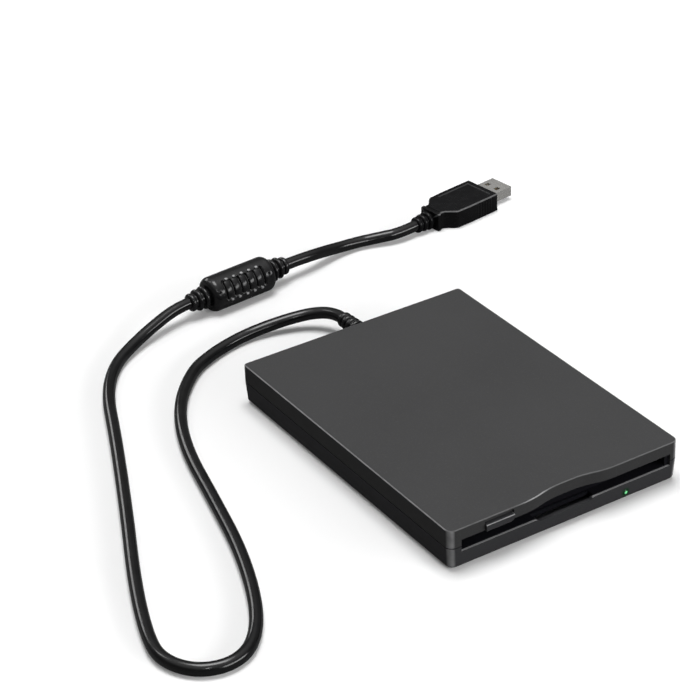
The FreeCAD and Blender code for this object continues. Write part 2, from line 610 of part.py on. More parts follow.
def upper_shell():
    """The roof shell: flat top, the waved upper band over the slot and the eject button's pocket."""
    body = new_body("upper_shell")
    low = "(parting_height + parting_gap)"
    sketch = wave_outline(new_sketch(body, height=low))
    pad(body, sketch, "case_height - " + low)
    fillet(body, "front_corner", at_front_corner)
    hollow(body, lambda face: face.BoundBox.ZMax < number(low) + 0.01)
    fillet(body, "back_corner", lambda edge: at_back_corner(edge)
           and abs(centre_of(edge).x) > number("case_width") / 2 - 0.01)
    top = number("case_height") - 0.01
    fillet(body, "top_round", lambda edge: edge.BoundBox.ZMin > top)
    for low_corner, high_corner in rim_strips("rim_play"):
        groove = rectangle(new_sketch(body, height=low), low_corner, high_corner)
        pocket(body, groove, "rim_rise + rim_play", up=True)
    slot_cut = rectangle(new_sketch(body, "XZ_Plane", "-(%s)" % FRONT), ("slot_left", "0"),
                         ("slot_right", SLOT_TOP))
    pocket(body, slot_cut, "frame_back")
    hole = rectangle(new_sketch(body, "XZ_Plane", "-(%s)" % FRONT), ("pocket_left", BUTTON_LOW),
                     ("pocket_right", BUTTON_TOP))
    pocket(body, hole, "2 * case_wall")
    recess = rectangle(new_sketch(body, "XZ_Plane", "-(%s)" % FRONT), ("pocket_left", BUTTON_LOW),
                       ("pocket_right", BUTTON_TOP + " + pocket_rise"))
    pocket(body, recess, "pocket_recess")
    fillet(body, "button_corner", lambda edge: pocket_corner(edge))
    back_hole = circle(new_sketch(body, "XZ_Plane", "-(%s) + 2 * case_wall" % BACK), "cord_x", "cord_z",
                       "relief_neck + running_fit")
    pocket(body, back_hole, "4 * case_wall")
    screw_boss_y = BACK + " - boss_inset"
    bosses = new_sketch(body, height=ROOF)
    pilots = new_sketch(body, height=FLOOR)
    for x in ("boss_x", "-boss_x"):
        circle(bosses, x, screw_boss_y, "boss_radius")
        circle(pilots, x, screw_boss_y, "screw_radius + screw_fit")
    pad(body, bosses, "%s - %s" % (ROOF, FLOOR), down=True)
    pocket(body, pilots, "case_screw_length", up=True)
    legs = new_sketch(body, "XZ_Plane", "-(%s + hook_setback)" % FRONT)
    for sign in ("", "-"):
        wall = "%s(%s - case_wall + 0.05)" % (sign, SIDE)
        free = "%s(%s - case_wall - hook_gap)" % (sign, SIDE)
        inner = "%s(%s - case_wall - hook_gap - hook_thick)" % (sign, SIDE)
        toe = "%s(%s - case_wall + hook_toe - hook_gap)" % (sign, SIDE)
        join_z = "(parting_height + parting_gap + rim_rise + 0.4)"
        polygon(legs, [(inner, ROOF + " + 0.1"), (wall, ROOF + " + 0.1"), (wall, join_z), (free, join_z),
                       (free, "hook_low + 2 * hook_toe"), (toe, "hook_low + hook_toe"), (free, "hook_low"),
                       (inner, "hook_low")])
    pad(body, legs, "hook_width", down=True)
    return node(body, "upper_shell")


def pocket_corner(edge):
    """The two edges along Y at the button pocket's right end, in the recessed part."""
    spot = centre_of(edge)
    box = edge.BoundBox
    right = abs(spot.x - number("pocket_right")) < 0.01
    return (right and box.YLength > 0.2 and box.XLength < 0.01 and box.ZLength < 0.01
            and spot.z > number(BUTTON_TOP) + 0.01)


def rubber_feet():
    """Four round pads in the tray's recesses."""
    pads = [rod((x, y, "0"), "foot_height + foot_recess", "foot_radius")
            for x in ("foot_x", "-foot_x") for y in ("foot_y", "-foot_y")]
    return node(group(*pads), "rubber_feet")


def screw(x, y, low, length):
    """A pan-head screw that points up, its head's face at low."""
    head = rod((x, y, low), "screw_head_thick", "screw_head")
    driver = block(("%s - screw_head / 2" % x, "%s - driver_slot / 2" % y, low),
                   ("%s + screw_head / 2" % x, "%s + driver_slot / 2" % y,
                    "%s + screw_head_thick / 2" % low))
    shank = rod((x, y, "%s + screw_head_thick" % low), length, "screw_radius")
    return cut(fuse(head, shank), driver)


def screws():
    """Two long screws clamp the shells at the back, and four short ones hold the drive down."""
    places = screw_places()
    node(group(*[screw(x, y, "foot_height", "case_screw_length") for x, y in places[:2]]), "case_screws")
    node(group(*[screw(x, y, "foot_height", "drive_screw_length") for x, y in places[2:]]), "drive_screws")


# ---- slot, button and lamp

def slot_frame():
    """The inner frame: a collar that lines the slot, a flange behind the wall and the flap's ears."""
    collar_left, collar_right = "slot_left + frame_play", "slot_right - frame_play"
    collar = block((collar_left, FRONT + " + frame_setback", SLOT_LOW + " + frame_play"),
                   (collar_right, FLANGE_BACK, SLOT_TOP + " - frame_play"))
    flange = block((collar_left + " - flange_over", FLANGE_BACK + " - flange_thick",
                    SLOT_LOW + " - flange_over"),
                   (collar_right + " + flange_over", FLANGE_BACK, BUTTON_LOW))
    shelf = block((collar_left, FRONT + " + case_wall + frame_setback - 0.6", SLOT_LOW + " - flange_over"),
                  (collar_right, FLANGE_BACK, SLOT_LOW + " + frame_play"))
    ears = []
    for sign in ("-", ""):
        inner = "%s(%s + flap_overlap + frame_play)" % (sign, BAY_SIDE)
        outer = "%s(%s + flap_overlap + frame_play + ear_thick)" % (sign, BAY_SIDE)
        low_x, high_x = (outer, inner) if sign else (inner, outer)
        ears.append(block((low_x, FLANGE_BACK, BAY_TOP + " - flap_thick"),
                          (high_x, FLANGE_BACK + " + ear_depth", FLAP_Z + " + flap_pin + 0.5")))
    bay = block(("-" + BAY_SIDE, FRONT, "bay_floor"), (BAY_SIDE, FLANGE_BACK + " + ear_depth", BAY_TOP))
    finger = block(("notch_left - frame_play", FRONT, SLOT_LOW + " - 2 * flange_over"),
                   ("notch_right + frame_play", FLANGE_BACK + " - flange_thick", BUTTON_TOP))
    wave_room = block(("wave_left - 1", FRONT, "bay_floor + bay_height / 2"),
                      ("wave_right + 1", FRONT + " + wave_depth + case_wall + frame_play", BUTTON_TOP))
    pivots = rod(("-" + SIDE, FLAP_Y, FLAP_Z), "case_width", "flap_pin + pivot_play", "x")
    return node(cut(fuse(collar, flange, shelf, *ears), bay, finger, wave_room, pivots), "slot_frame")


def dust_flap():
    """A plate that hangs behind the slot from a barrel with a pin at each end."""
    half = "(%s + flap_overlap)" % BAY_SIDE
    face = FLAP_Y + " - flap_barrel"
    plate = block(("-" + half, face, "bay_floor - flap_overlap"), (half, face + " + flap_thick", FLAP_Z))
    barrel = rod(("-" + half, FLAP_Y, FLAP_Z), "2 * " + half, "flap_barrel", "x")
    pin = rod(("-%s - flap_pin_length" % half, FLAP_Y, FLAP_Z), "2 * (%s + flap_pin_length)" % half,
              "flap_pin", "x")
    room = block(("slot_left + 8", FLAP_Y + " - flap_barrel", FLAP_Z + " - flap_barrel - 0.3"),
                 ("slot_left + 12", FLAP_Y + " + flap_barrel + 0.3", FLAP_Z + " + flap_barrel"))
    return node(fuse(cut(fuse(plate, barrel), room), pin), "dust_flap")


def coil_spring(label, start, along, turns, pitch, radius, wire):
    """A round wire swept along a helix that starts at start and runs along an axis."""
    turned = {"x": (0, 1, 0, 90), "y": (1, 0, 0, -90), "z": (0, 0, 1, 0)}[along]
    rotation = FreeCAD.Rotation(FreeCAD.Vector(*turned[:3]), turned[3])
    helix = Part.makeHelix(pitch, pitch * turns, radius)
    ring = Part.Wire(Part.makeCircle(wire, FreeCAD.Vector(radius, 0, 0), FreeCAD.Vector(0, 1, 0)))
    coil = Part.Wire(helix).makePipeShell([ring], True, True)
    spring = doc.addObject("Part::Feature", label)
    spring.Shape = coil
    spring.Placement.Rotation = rotation
    return place(spring, *start)


def flap_spring():
    """A small torsion coil round the flap's pin."""
    coil = coil_spring("flap_coil", ("slot_left + 8.3", FLAP_Y, FLAP_Z), "x", 6, 0.5,
                       number("flap_pin") + 0.12, 0.08)
    return node(coil, "flap_spring")


def eject_button():
    """A key that stands proud of the band, with a chin over the slot's edge and a stem to the slider."""
    left, right = "pocket_left + button_gap", "pocket_right - button_gap"
    low, top = BUTTON_LOW + " + button_gap", BUTTON_TOP + " - button_gap"
    nose = FRONT + " - button_proud"
    plate_back = FRONT + " - 0.05"
    chin = BUTTON_LOW + " - button_chin"
    face = block((left, nose, chin), (right, plate_back, top))
    face = rounded(face, "button_toe", lambda edge: button_end(edge, chin))
    face = rounded(face, "button_round", lambda edge: button_end(edge, top))
    face = rounded(face, "button_bevel", lambda edge: button_brow(edge, nose, top))
    core = block((left, plate_back, low), (right, FRONT + " + case_wall", top))
    core = rounded(core, "button_corner", lambda edge: button_end(edge, low))
    core = rounded(core, "button_round", lambda edge: button_end(edge, top))
    head = fuse(face, core)
    middle = "(pocket_left + pocket_right) / 2"
    stem = block((middle + " - stem_width / 2", FRONT + " + 1", SLIDER_TOP),
                 (middle + " + stem_width / 2", FRONT + " + stem_back", SLIDER_TOP + " + stem_thick"))
    peg = rod((middle, FRONT + " + stem_back - 2 * stem_peg", SLIDER_TOP + " - sheet"), "sheet", "stem_peg")
    return node(fuse(head, stem, peg), "eject_button")


def button_end(edge, level):
    """An edge along Y at the key's right end, at the given height."""
    box = edge.BoundBox
    right = abs(centre_of(edge).x - number("pocket_right - button_gap")) < 0.01
    return right and abs(box.ZMin - number(level)) < 0.01 and box.ZLength < 0.01 and box.YLength > 0.5


def button_brow(edge, nose, top):
    """The key's upper front edge, along X."""
    box = edge.BoundBox
    front = abs(box.YMax - number(nose)) < 0.01 and abs(box.ZMin - number(top)) < 0.01
    return front and box.XLength > number("pocket_width / 3")


def lamp():
    """A light pipe through the lower band and the lamp that shines into it."""
    pipe_start = FRONT + " + case_draft * (parting_height - lamp_z) / (parting_height - foot_height) - 0.3"
    pipe = fuse(rod(("lamp_x", pipe_start, "lamp_z"), "lamp_length", "lamp_radius", "y"),
                rod(("lamp_x", pipe_start + " + 0.5 + case_wall", "lamp_z"), "0.8", "lamp_flange", "y"))
    node(rounded(pipe, "lamp_radius * 0.4", lambda edge: edge.BoundBox.YMax < number(pipe_start) + 0.01),
         "led_lens")
    back = pipe_start + " + lamp_length + 0.05"
    parts = [block(("lamp_x - 1.5", back, "lamp_z - 0.9"),
                   ("lamp_x + 1.5", back + " + 1.2", "lamp_z + lamp_radius"))]
    for lead in (-1, 1):
        parts.append(block(("lamp_x + %d - 0.2" % lead, back, BOARD_TOP),
                           ("lamp_x + %d + 0.2" % lead, DRIVE_FRONT + " + 3", BOARD_TOP + " + 0.3")))
    node(fuse(*parts), "led")


# ---- disk mechanism

def pin_places():
    """Y and Z of the holder's pins at rest, one near the front and one near the back of each side."""
    return [(DRIVE_FRONT + " + " + setback, "bay_floor + pin_rise")
            for setback in ("front_pin", "rear_pin")]


def chassis():
    """The die-cast tray that carries the mechanism, open at the front, slotted for the holder's pins."""
    body = new_body("chassis")
    plan = rectangle(new_sketch(body, height=BASE), ("-" + DRIVE_SIDE, DRIVE_FRONT),
                     (DRIVE_SIDE, DRIVE_BACK))
    pad(body, plan, "chassis_top - " + BASE)
    well = rectangle(new_sketch(body, height="chassis_top"),
                     ("-%s + chassis_wall" % DRIVE_SIDE, DRIVE_FRONT + " - 1"),
                     (DRIVE_SIDE + " - chassis_wall", DRIVE_BACK + " - chassis_wall"))
    pocket(body, well, "chassis_top - " + DECK)
    over = rectangle(new_sketch(body, "XZ_Plane", "-%s + 2" % DRIVE_BACK),
                     ("-%s + chassis_wall" % DRIVE_SIDE, "rear_wall_top"),
                     (DRIVE_SIDE + " - chassis_wall", "case_height"))
    pocket(body, over, "3")
    notch = rectangle(new_sketch(body, "XZ_Plane", "-%s + 2" % DRIVE_BACK),
                      ("usb_board_width / 2 - connector_width - 0.4", BOARD_TOP),
                      ("board_side + 0.2", "case_height"))
    pocket(body, notch, "3")
    ways = new_sketch(body, "YZ_Plane", SIDE)
    for y, z in pin_places():
        rectangle(ways, (y + " - pin_radius - pivot_play", z + " - holder_drop - pin_radius - pivot_play"),
                  (y + " + pin_radius + pivot_play", "case_height"))
    pocket(body, ways, "case_width")
    bosses = new_sketch(body, height=DECK)
    for x, y in screw_places()[2:]:
        circle(bosses, x, y, "2 * screw_radius")
    pad(body, bosses, "1")
    post = rectangle(new_sketch(body, height=DECK),
                     ("rod_x - rod_radius - 0.8", DRIVE_FRONT + " + rod_front"),
                     ("rod_x + rod_radius + 0.8", DRIVE_FRONT + " + rod_front + post_thick"))
    pad(body, post, "rod_z + rod_radius + 0.6 - " + DECK)
    holes = new_sketch(body, height=BASE)
    circle(holes, "0", SPINDLE_Y, "bearing_radius")
    for x, y in screw_places()[2:]:
        circle(holes, x, y, "screw_radius + screw_fit")
    pocket(body, holes, "chassis_floor + 2", up=True)
    rod_seat = circle(new_sketch(body, "XZ_Plane", "-(%s + rod_front - 1)" % DRIVE_FRONT), "rod_x", "rod_z",
                      "rod_radius")
    pocket(body, rod_seat, "3")
    return node(body, "chassis")


def drive_cover():
    """The sheet lid: a plate on the chassis walls, flanges outside them and a window over the head arm."""
    outer = "(%s + 0.05 + cover_sheet)" % DRIVE_SIDE
    back = "(%s + 0.05 + cover_sheet)" % DRIVE_BACK
    lid = block(("-" + outer, DRIVE_FRONT, "chassis_top - cover_flange"),
                (outer, back, "chassis_top + cover_sheet"))
    inside = block(("-%s - 0.05" % DRIVE_SIDE, DRIVE_FRONT + " - 1", "chassis_top - cover_flange - 1"),
                   (DRIVE_SIDE + " + 0.05", DRIVE_BACK + " + 0.05", "chassis_top"))
    window = block(("-cover_window", HEAD_Y + " - head_travel - head_length - 1", "chassis_top - 1"),
                   ("cover_window", HEAD_Y + " + head_travel", "chassis_top + 1"))
    lug_front = DRIVE_FRONT + " + slider_front + slider_bridge + push_turns * push_pitch + 2 * push_wire"
    lugs = [block(("%s - 1" % x, lug_front, HOLDER_TOP + " + 0.15"),
                  ("%s + 1" % x, lug_front + " + sheet", "chassis_top + 0.1"))
            for x in ("(%s - slider_strip - push_inset)" % SLIDER_SIDE,
                      "-(%s - slider_strip - push_inset)" % SLIDER_SIDE)]
    return node(fuse(cut(lid, inside, window), *lugs), "drive_cover")


def disk_holder():
    """The folded sheet cage that carries the disk: plate, sides, lips under the disk and two lifting tabs."""
    front = DRIVE_FRONT + " + holder_front"
    back = front + " + holder_length"
    wall = "(%s + sheet)" % BAY_SIDE
    low = "(bay_floor - sheet)"
    shell = block(("-" + wall, front, low), (wall, back, HOLDER_TOP))
    room = block(("-" + BAY_SIDE, front + " - 1", "bay_floor"), (BAY_SIDE, back + " + 1", BAY_TOP))
    under = block(("-%s + holder_lip" % wall, front + " - 1", low + " - 1"),
                  (wall + " - holder_lip", back + " + 1", "bay_floor + 1"))
    head_room = block(("-head_window", HEAD_Y + " - head_travel - head_length", BAY_TOP + " - 1"),
                      ("head_window", back + " + 1", HOLDER_TOP + " + 1"))
    hub_room = rod(("0", SPINDLE_Y, BAY_TOP + " - 1"), "2 + sheet", "hub_radius + 4")
    tabs = [block((low_x, back, BAY_TOP), (high_x, back + " + tab_length", HOLDER_TOP))
            for low_x, high_x in (("-head_window - tab_width", "-head_window"),
                                  ("head_window", "head_window + tab_width"))]
    pins = [rod(("-" + SIDE, y, z), "case_width", "pin_radius", "x") for y, z in pin_places()]
    way = doc.addObject("Part::Cylinder", "Way")
    bind(way, Radius="lever_reach + lever_tip + 0.2", Height="2", Angle="lever_swing_angle + 8")
    core = doc.addObject("Part::Cylinder", "Core")
    bind(core, Radius="lever_reach - lever_tip - 0.2", Height="2", Angle="lever_swing_angle + 8")
    sector = cut(way, core)
    place(sector, "lever_x", DRIVE_FRONT + " + lever_setback", BAY_TOP + " - 1", (0, 0, 1),
          "lever_rest_angle - lever_swing_angle - 4")
    pivot = rod(("lever_x", DRIVE_FRONT + " + lever_setback", BAY_TOP + " - 1"), "3", "lever_pivot_radius")
    folded = cut(shell, room, under, head_room, hub_room, sector, pivot, *pins)
    return node(fuse(folded, *tabs), "disk_holder")


def holder_pins():
    """Four pins riveted to the cage, for the slider's sloping slots and the chassis' upright ones."""
    length = "%s - 0.1 - %s" % (DRIVE_SIDE, BAY_SIDE)
    pins = []
    for y, z in pin_places():
        pins.append(rod((BAY_SIDE, y, z), length, "pin_radius", "x"))
        pins.append(rod(("-%s + 0.1" % DRIVE_SIDE, y, z), length, "pin_radius", "x"))
    return node(group(*pins), "holder_pins")


def eject_slider():
    """The folded plate over the cage. Its sloping slots lower the cage as it slides forward."""
    body = new_body("eject_slider")
    front = DRIVE_FRONT + " + slider_front"
    outer, inner = SLIDER_SIDE, "(%s - sheet)" % SLIDER_SIDE
    low, under = "bay_floor - slider_low", SLIDER_TOP + " - sheet"
    fold = polygon(new_sketch(body, "XZ_Plane", "-(%s)" % front), [
        ("-" + outer, low), ("-" + inner, low), ("-" + inner, under), (inner, under),
        (inner, low), (outer, low), (outer, SLIDER_TOP), ("-" + outer, SLIDER_TOP)])
    pad(body, fold, "slider_length", down=True)
    middle = rectangle(new_sketch(body, height=SLIDER_TOP),
                       ("-%s + slider_strip" % outer, front + " + slider_bridge"),
                       (outer + " - slider_strip", front + " + slider_length + 1"))
    pocket(body, middle, "2 * sheet")
    ways = new_sketch(body, "YZ_Plane", SIDE)
    for y, z in pin_places():
        slot(ways, (y, z), (y + " + eject_travel", z + " - holder_drop"), "pin_radius + pivot_play")
    pocket(body, ways, "case_width")
    peg = circle(new_sketch(body, height=SLIDER_TOP), "(pocket_left + pocket_right) / 2",
                 FRONT + " + stem_back - 2 * stem_peg", "stem_peg")
    pocket(body, peg, "2 * sheet")
    return node(body, "eject_slider")


def slider_springs():
    """Two coils that push the slider forward, from the cover's lugs to the back of its bridge."""
    coils = []
    for sign in ("-", ""):
        start = ("%s(%s - slider_strip - push_inset)" % (sign, SLIDER_SIDE),
                 DRIVE_FRONT + " + slider_front + slider_bridge + push_wire", SLIDER_TOP)
        coils.append(coil_spring("push_coil", start, "y", number("push_turns"), number("push_pitch"),
                                 number("push_radius"), number("push_wire")))
    return node(group(*coils), "slider_springs")


def lever_place(piece, rise):
    """Put a piece made round its own pivot on the lever's pivot, at a height over the cage."""
    return place(piece, "lever_x", DRIVE_FRONT + " + lever_setback", HOLDER_TOP + " + " + rise, (0, 0, 1),
                 "lever_rest_angle")


def shutter_lever():
    """A flat arm with a pin down into the bay. The disk's edge swings it and it slides the shutter open."""
    bar = block(("0", "-lever_width / 2", "0"), ("lever_reach", "lever_width / 2", "lever_thick"))
    hub = rod(("0", "0", "0"), "lever_thick", "lever_width")
    tip = rod(("lever_reach", "0", "0"), "lever_thick", "lever_width * 0.6")
    finger = rod(("lever_reach", "0", "-lever_tip_drop"), "lever_tip_drop + lever_thick", "lever_tip")
    bore = rod(("0", "0", "-1"), "2 + lever_thick", "lever_pivot_radius + running_fit")
    lever = cut(fuse(bar, hub, tip, finger), bore)
    return node(lever_place(lever, "lever_lift"), "shutter_lever")


def lever_pivot():
    """The rivet in the cage that the lever turns on, and the hairpin of wire that turns the lever back."""
    post = rod(("0", "0", "-sheet"), "sheet + lever_post", "lever_pivot_radius")
    head = rod(("0", "0", "lever_post"), "lever_head_thick", "lever_pivot_head")
    node(lever_place(fuse(post, head), "0"), "lever_pivot")
    wire, radius = number("hairpin_wire"), number("lever_pivot_radius + hairpin_gap")
    sweep, leg = math.radians(number("hairpin_sweep")), number("hairpin_leg")
    bend = [FreeCAD.Vector(radius * math.cos(angle), radius * math.sin(angle), 0)
            for angle in (0, sweep / 2, sweep)]
    start = bend[0] - FreeCAD.Vector(0, leg, 0)
    end = bend[2] + FreeCAD.Vector(-math.sin(sweep), math.cos(sweep), 0) * leg
    path = Part.Wire([Part.LineSegment(start, bend[0]).toShape(), Part.Arc(*bend).toShape(),
                      Part.LineSegment(bend[2], end).toShape()])
    section = Part.Wire(Part.makeCircle(wire, start, FreeCAD.Vector(0, 1, 0)))
    hairpin = doc.addObject("Part::Feature", "Hairpin")
    hairpin.Shape = path.makePipeShell([section], True, True)
    rise = HOLDER_TOP + " + lever_lift + lever_thick + running_fit + hairpin_wire"
    node(place(hairpin, "lever_x", DRIVE_FRONT + " + lever_setback", rise), "lever_spring")


def spindle():
    """The flat motor: board and coils, bearing, rotor with its ring magnet, hub, shaft and drive pin."""
    at = lambda x, y, z: (str(x), "%s + %s" % (SPINDLE_Y, y), str(z))
    disc = rod(at(0, 0, DECK), "board_thick", "stator_radius")
    tail = block(at(0, "-tail_width / 2", DECK),
                 ("board_side - side_strip", SPINDLE_Y + " + tail_width / 2", BOARD_TOP))
    centre = rod(at(0, 0, DECK + " - 1"), "4", "bearing_radius")
    node(cut(fuse(disc, tail), centre), "spindle_board")
    coils = []
    for n in range(int(number("coil_count"))):
        angle = "(%d * 360 / coil_count)" % n
        spot = at("coil_ring * cos(%s)" % angle, "coil_ring * sin(%s)" % angle, BOARD_TOP)
        coils.append(cut(rod(spot, "coil_height", "coil_radius"), rod(spot, "coil_height", "coil_core")))
    node(group(*coils), "stator_coils")
    bore = rod(at(0, 0, BASE), "bearing_height", "shaft_radius + running_fit")
    node(cut(rod(at(0, 0, BASE), "bearing_height", "bearing_radius"), bore), "spindle_bearing")
    plate = rod(at(0, 0, ROTOR_LOW), "rotor_sheet", "rotor_radius")
    rim = cut(rod(at(0, 0, COIL_TOP + " + rotor_gap"), "magnet_thick", "rotor_radius"),
              rod(at(0, 0, COIL_TOP + " + rotor_gap"), "magnet_thick", "rotor_radius - rotor_sheet"))
    through = rod(at(0, 0, BASE), "case_height", "shaft_radius")
    node(cut(fuse(plate, rim), through), "spindle_rotor")
    magnet = rod(at(0, 0, COIL_TOP + " + rotor_gap"), "magnet_thick",
                 "rotor_radius - rotor_sheet - magnet_fit")
    node(cut(magnet, rod(at(0, 0, COIL_TOP), "2", "magnet_inner")), "rotor_magnet")
    pin_hole = rod(at("drive_pin_ring", 0, ROTOR_TOP), "hub_thick", "drive_pin_radius + 0.1")
    hub = cut(rod(at(0, 0, ROTOR_TOP), "hub_thick", "hub_radius"),
              rod(at(0, 0, BASE), "case_height", "shaft_radius"), pin_hole)
    node(hub, "spindle_hub")
    shaft = rod(at(0, 0, BASE + " + 0.1"), ROTOR_TOP + " + hub_thick + shaft_above - %s - 0.1" % BASE,
                "shaft_radius")
    node(shaft, "spindle_shaft")
    node(rod(at("drive_pin_ring", 0, ROTOR_TOP), "hub_thick + drive_pin_rise", "drive_pin_radius"),
         "drive_pin")


# ---- heads and their drive

def head_carriage():
    """The sled under the disk with its block on the guide rod, the screw's follower and the arm's ears."""
    block_front = HEAD_Y + " + carriage_front"
    block_back = HEAD_Y + " + carriage_back"
    top = "(arm_rise - knuckle_radius - ear_gap)"
    sled = block(("-sled_width / 2", HEAD_Y + " - head_length / 2 - 1", "sled_low"),
                 ("sled_width / 2", block_back, "sled_low + sled_thick"))
    bulk = block(("-sled_width / 2 - 3", block_front, "sled_low"),
                 ("rod_x + rod_radius + 1.7", block_back, top))
    follower = block(("screw_x - lead_screw_radius - 1", block_front + " + 0.1", "screw_z - 2"),
                     ("-sled_width / 2 - 2", block_front + " + 0.1 + follower_thick", "screw_z + 2"))
    ears = []
    for sign in ("-", ""):
        inner, outer = "%s(arm_width / 2 + ear_gap)" % sign, "%s(arm_width / 2 + ear_gap + ear_width)" % sign
        low_x, high_x = (outer, inner) if sign else (inner, outer)
        ears.append(block((low_x, ARM_PIVOT + " - 2", top),
                          (high_x, ARM_PIVOT + " + 2", "arm_rise + knuckle_radius")))
    flag = block(("rod_x + rod_radius + 1.5", ARM_PIVOT + " + 2", "sled_low + flag_rise - 1"),
                 ("rod_x + 8.5", ARM_PIVOT + " + 4", "sled_low + flag_rise - 1 + flag_thick"))
    bore = rod(("rod_x", HEAD_Y, "rod_z"), "60", "rod_radius + running_fit", "y")
    thread = rod(("screw_x", HEAD_Y, "screw_z"), "60", "lead_screw_radius + 0.1", "y")
    hinge = rod(("-arm_width", ARM_PIVOT, "arm_rise"), "2 * arm_width", "hinge_radius", "x")
    return node(cut(fuse(sled, bulk, follower, flag, *ears), bore, thread, hinge), "head_carriage")


def heads():
    """The lower head on the sled, and the upper head's arm, lifted by its cross pin on the cage's tabs."""
    node(block(("-head_width / 2", HEAD_Y + " - head_length / 2", "sled_low + sled_thick"),
               ("head_width / 2", HEAD_Y + " + head_length / 2", "head_plane - head_gap")), "lower_head")
    lift_back = "(holder_drop * arm_reach / arm_lift)"
    pin_z = "(%s - holder_drop + 0.05 + lift_pin_radius - arm_rise)" % HOLDER_TOP
    beam = block(("-arm_width / 2", "-arm_reach - head_length / 2 - 0.5", "arm_low - arm_rise"),
                 ("arm_width / 2", "0", "arm_low - arm_rise + arm_thick"))
    knuckle = rod(("-arm_width / 2", "0", "0"), "arm_width", "knuckle_radius", "x")
    lift_pin = rod(("-head_window - tab_width", "-" + lift_back, pin_z), "2 * (head_window + tab_width)",
                   "lift_pin_radius", "x")
    cheeks = [block((low_x, "-%s - 1" % lift_back, "arm_low - arm_rise"),
                    (high_x, "-%s + 1" % lift_back, pin_z + " + lift_pin_radius"))
              for low_x, high_x in (("-arm_width / 2", "-arm_width / 2 + 1"),
                                    ("arm_width / 2 - 1", "arm_width / 2"))]
    spring_room = block(("-2.2", "-knuckle_radius - 1.2", "-2"), ("2.2", "knuckle_radius + 1", "2"))
    hinge = rod(("-arm_width", "0", "0"), "2 * arm_width", "hinge_radius + pivot_play", "x")
    arm = cut(fuse(beam, knuckle, lift_pin, *cheeks), spring_room, hinge)
    pad_block = block(("-head_width / 2", "-arm_reach - head_length / 2",
                       "head_plane + head_gap - arm_rise"),
                      ("head_width / 2", "-arm_reach + head_length / 2", "arm_low - arm_rise"))
    for piece, label in ((arm, "head_arm"), (group(pad_block), "upper_head")):
        node(place(piece, "0", ARM_PIVOT, "arm_rise", (1, 0, 0), "-asin(arm_lift / arm_reach)"), label)
    reach = "(arm_width / 2 + ear_gap + ear_width)"
    node(rod(("-" + reach, ARM_PIVOT, "arm_rise"), "2 * " + reach, "hinge_radius", "x"), "arm_hinge_pin")
    coil_start = ("-1.9", ARM_PIVOT, "arm_rise")
    coil = coil_spring("arm_coil", coil_start, "x", 9, 0.4, number("hinge_radius") + 0.3, 0.15)
    node(coil, "arm_spring")


def head_drive():
    """Stepper motor, its bracket, the lead screw, the guide rod and the sensor at the outer track."""
    rear = "(%s + bracket_front + bracket_length)" % DRIVE_FRONT
    near = "(%s + bracket_front)" % DRIVE_FRONT
    half = "bracket_width / 2"
    base = block(("screw_x - " + half, near, DECK), ("screw_x + " + half, rear, DECK + " + bracket_sheet"))
    front_tab = block(("screw_x - 3", near, DECK),
                      ("screw_x + 3", near + " + bracket_sheet", "screw_z + 1.8"))
    rear_tab = block(("screw_x - " + half, rear + " - bracket_sheet", DECK),
                     ("screw_x + " + half, rear, "screw_z + 4"))
    bore = rod(("screw_x", near + " - 1", "screw_z"), "bracket_length + 2",
               "lead_screw_radius + running_fit", "y")
    node(cut(fuse(base, front_tab, rear_tab), bore), "motor_bracket")
    can = rod(("screw_x", rear, "screw_z"), "motor_length", "motor_radius", "y")
    terminals = block(("screw_x - 2.5", rear + " + 1.5", "screw_z"),
                      ("screw_x + 2.5", rear + " + 5.5", "screw_z + motor_radius + 0.8"))
    socket = rod(("screw_x", rear + " - 1", "screw_z"), "3", "lead_screw_radius + running_fit", "y")
    node(cut(fuse(can, terminals), socket), "stepper_motor")
    node(lead_screw(near, rear), "lead_screw")
    node(rod(("rod_x", DRIVE_FRONT + " + rod_front", "rod_z"),
             DRIVE_BACK + " - chassis_wall - %s - rod_front" % DRIVE_FRONT,
             "rod_radius", "y"), "guide_rod")
    left = "rod_x + 6"
    front = ARM_PIVOT + " + 0.9"
    body = block((left, front, BOARD_TOP),
                 (left + " + sensor_width", front + " + sensor_depth", BOARD_TOP + " + sensor_height"))
    gate = block((left, front, "sled_low + flag_rise - 1.6"),
                 (left + " + 3.5", front + " + sensor_depth", "sled_low + flag_rise + flag_thick - 0.4"))
    node(cut(body, gate), "track_sensor")


def lead_screw(near, rear):
    """A core with a round-bottomed ridge wound along it, running in the bracket's two tabs."""
    core = rod(("screw_x", near, "screw_z"), "bracket_length + 2", "lead_screw_radius - thread_depth", "y")
    journals = [rod(("screw_x", y, "screw_z"), length, "lead_screw_radius", "y")
                for y, length in ((near, "bracket_sheet + 0.2"),
                                  (rear + " - bracket_sheet - 0.2", "bracket_sheet + 2"))]
    depth = number("thread_depth")
    radius = number("lead_screw_radius") - depth
    turns = number("(bracket_length - 2 * bracket_sheet - 0.9) / screw_pitch")
    ridge = coil_spring("ridge", ("screw_x", near + " + bracket_sheet + 0.45", "screw_z"), "y", turns,
                        number("screw_pitch"), radius, depth)
    return fuse(core, ridge, *journals)


# ---- boards

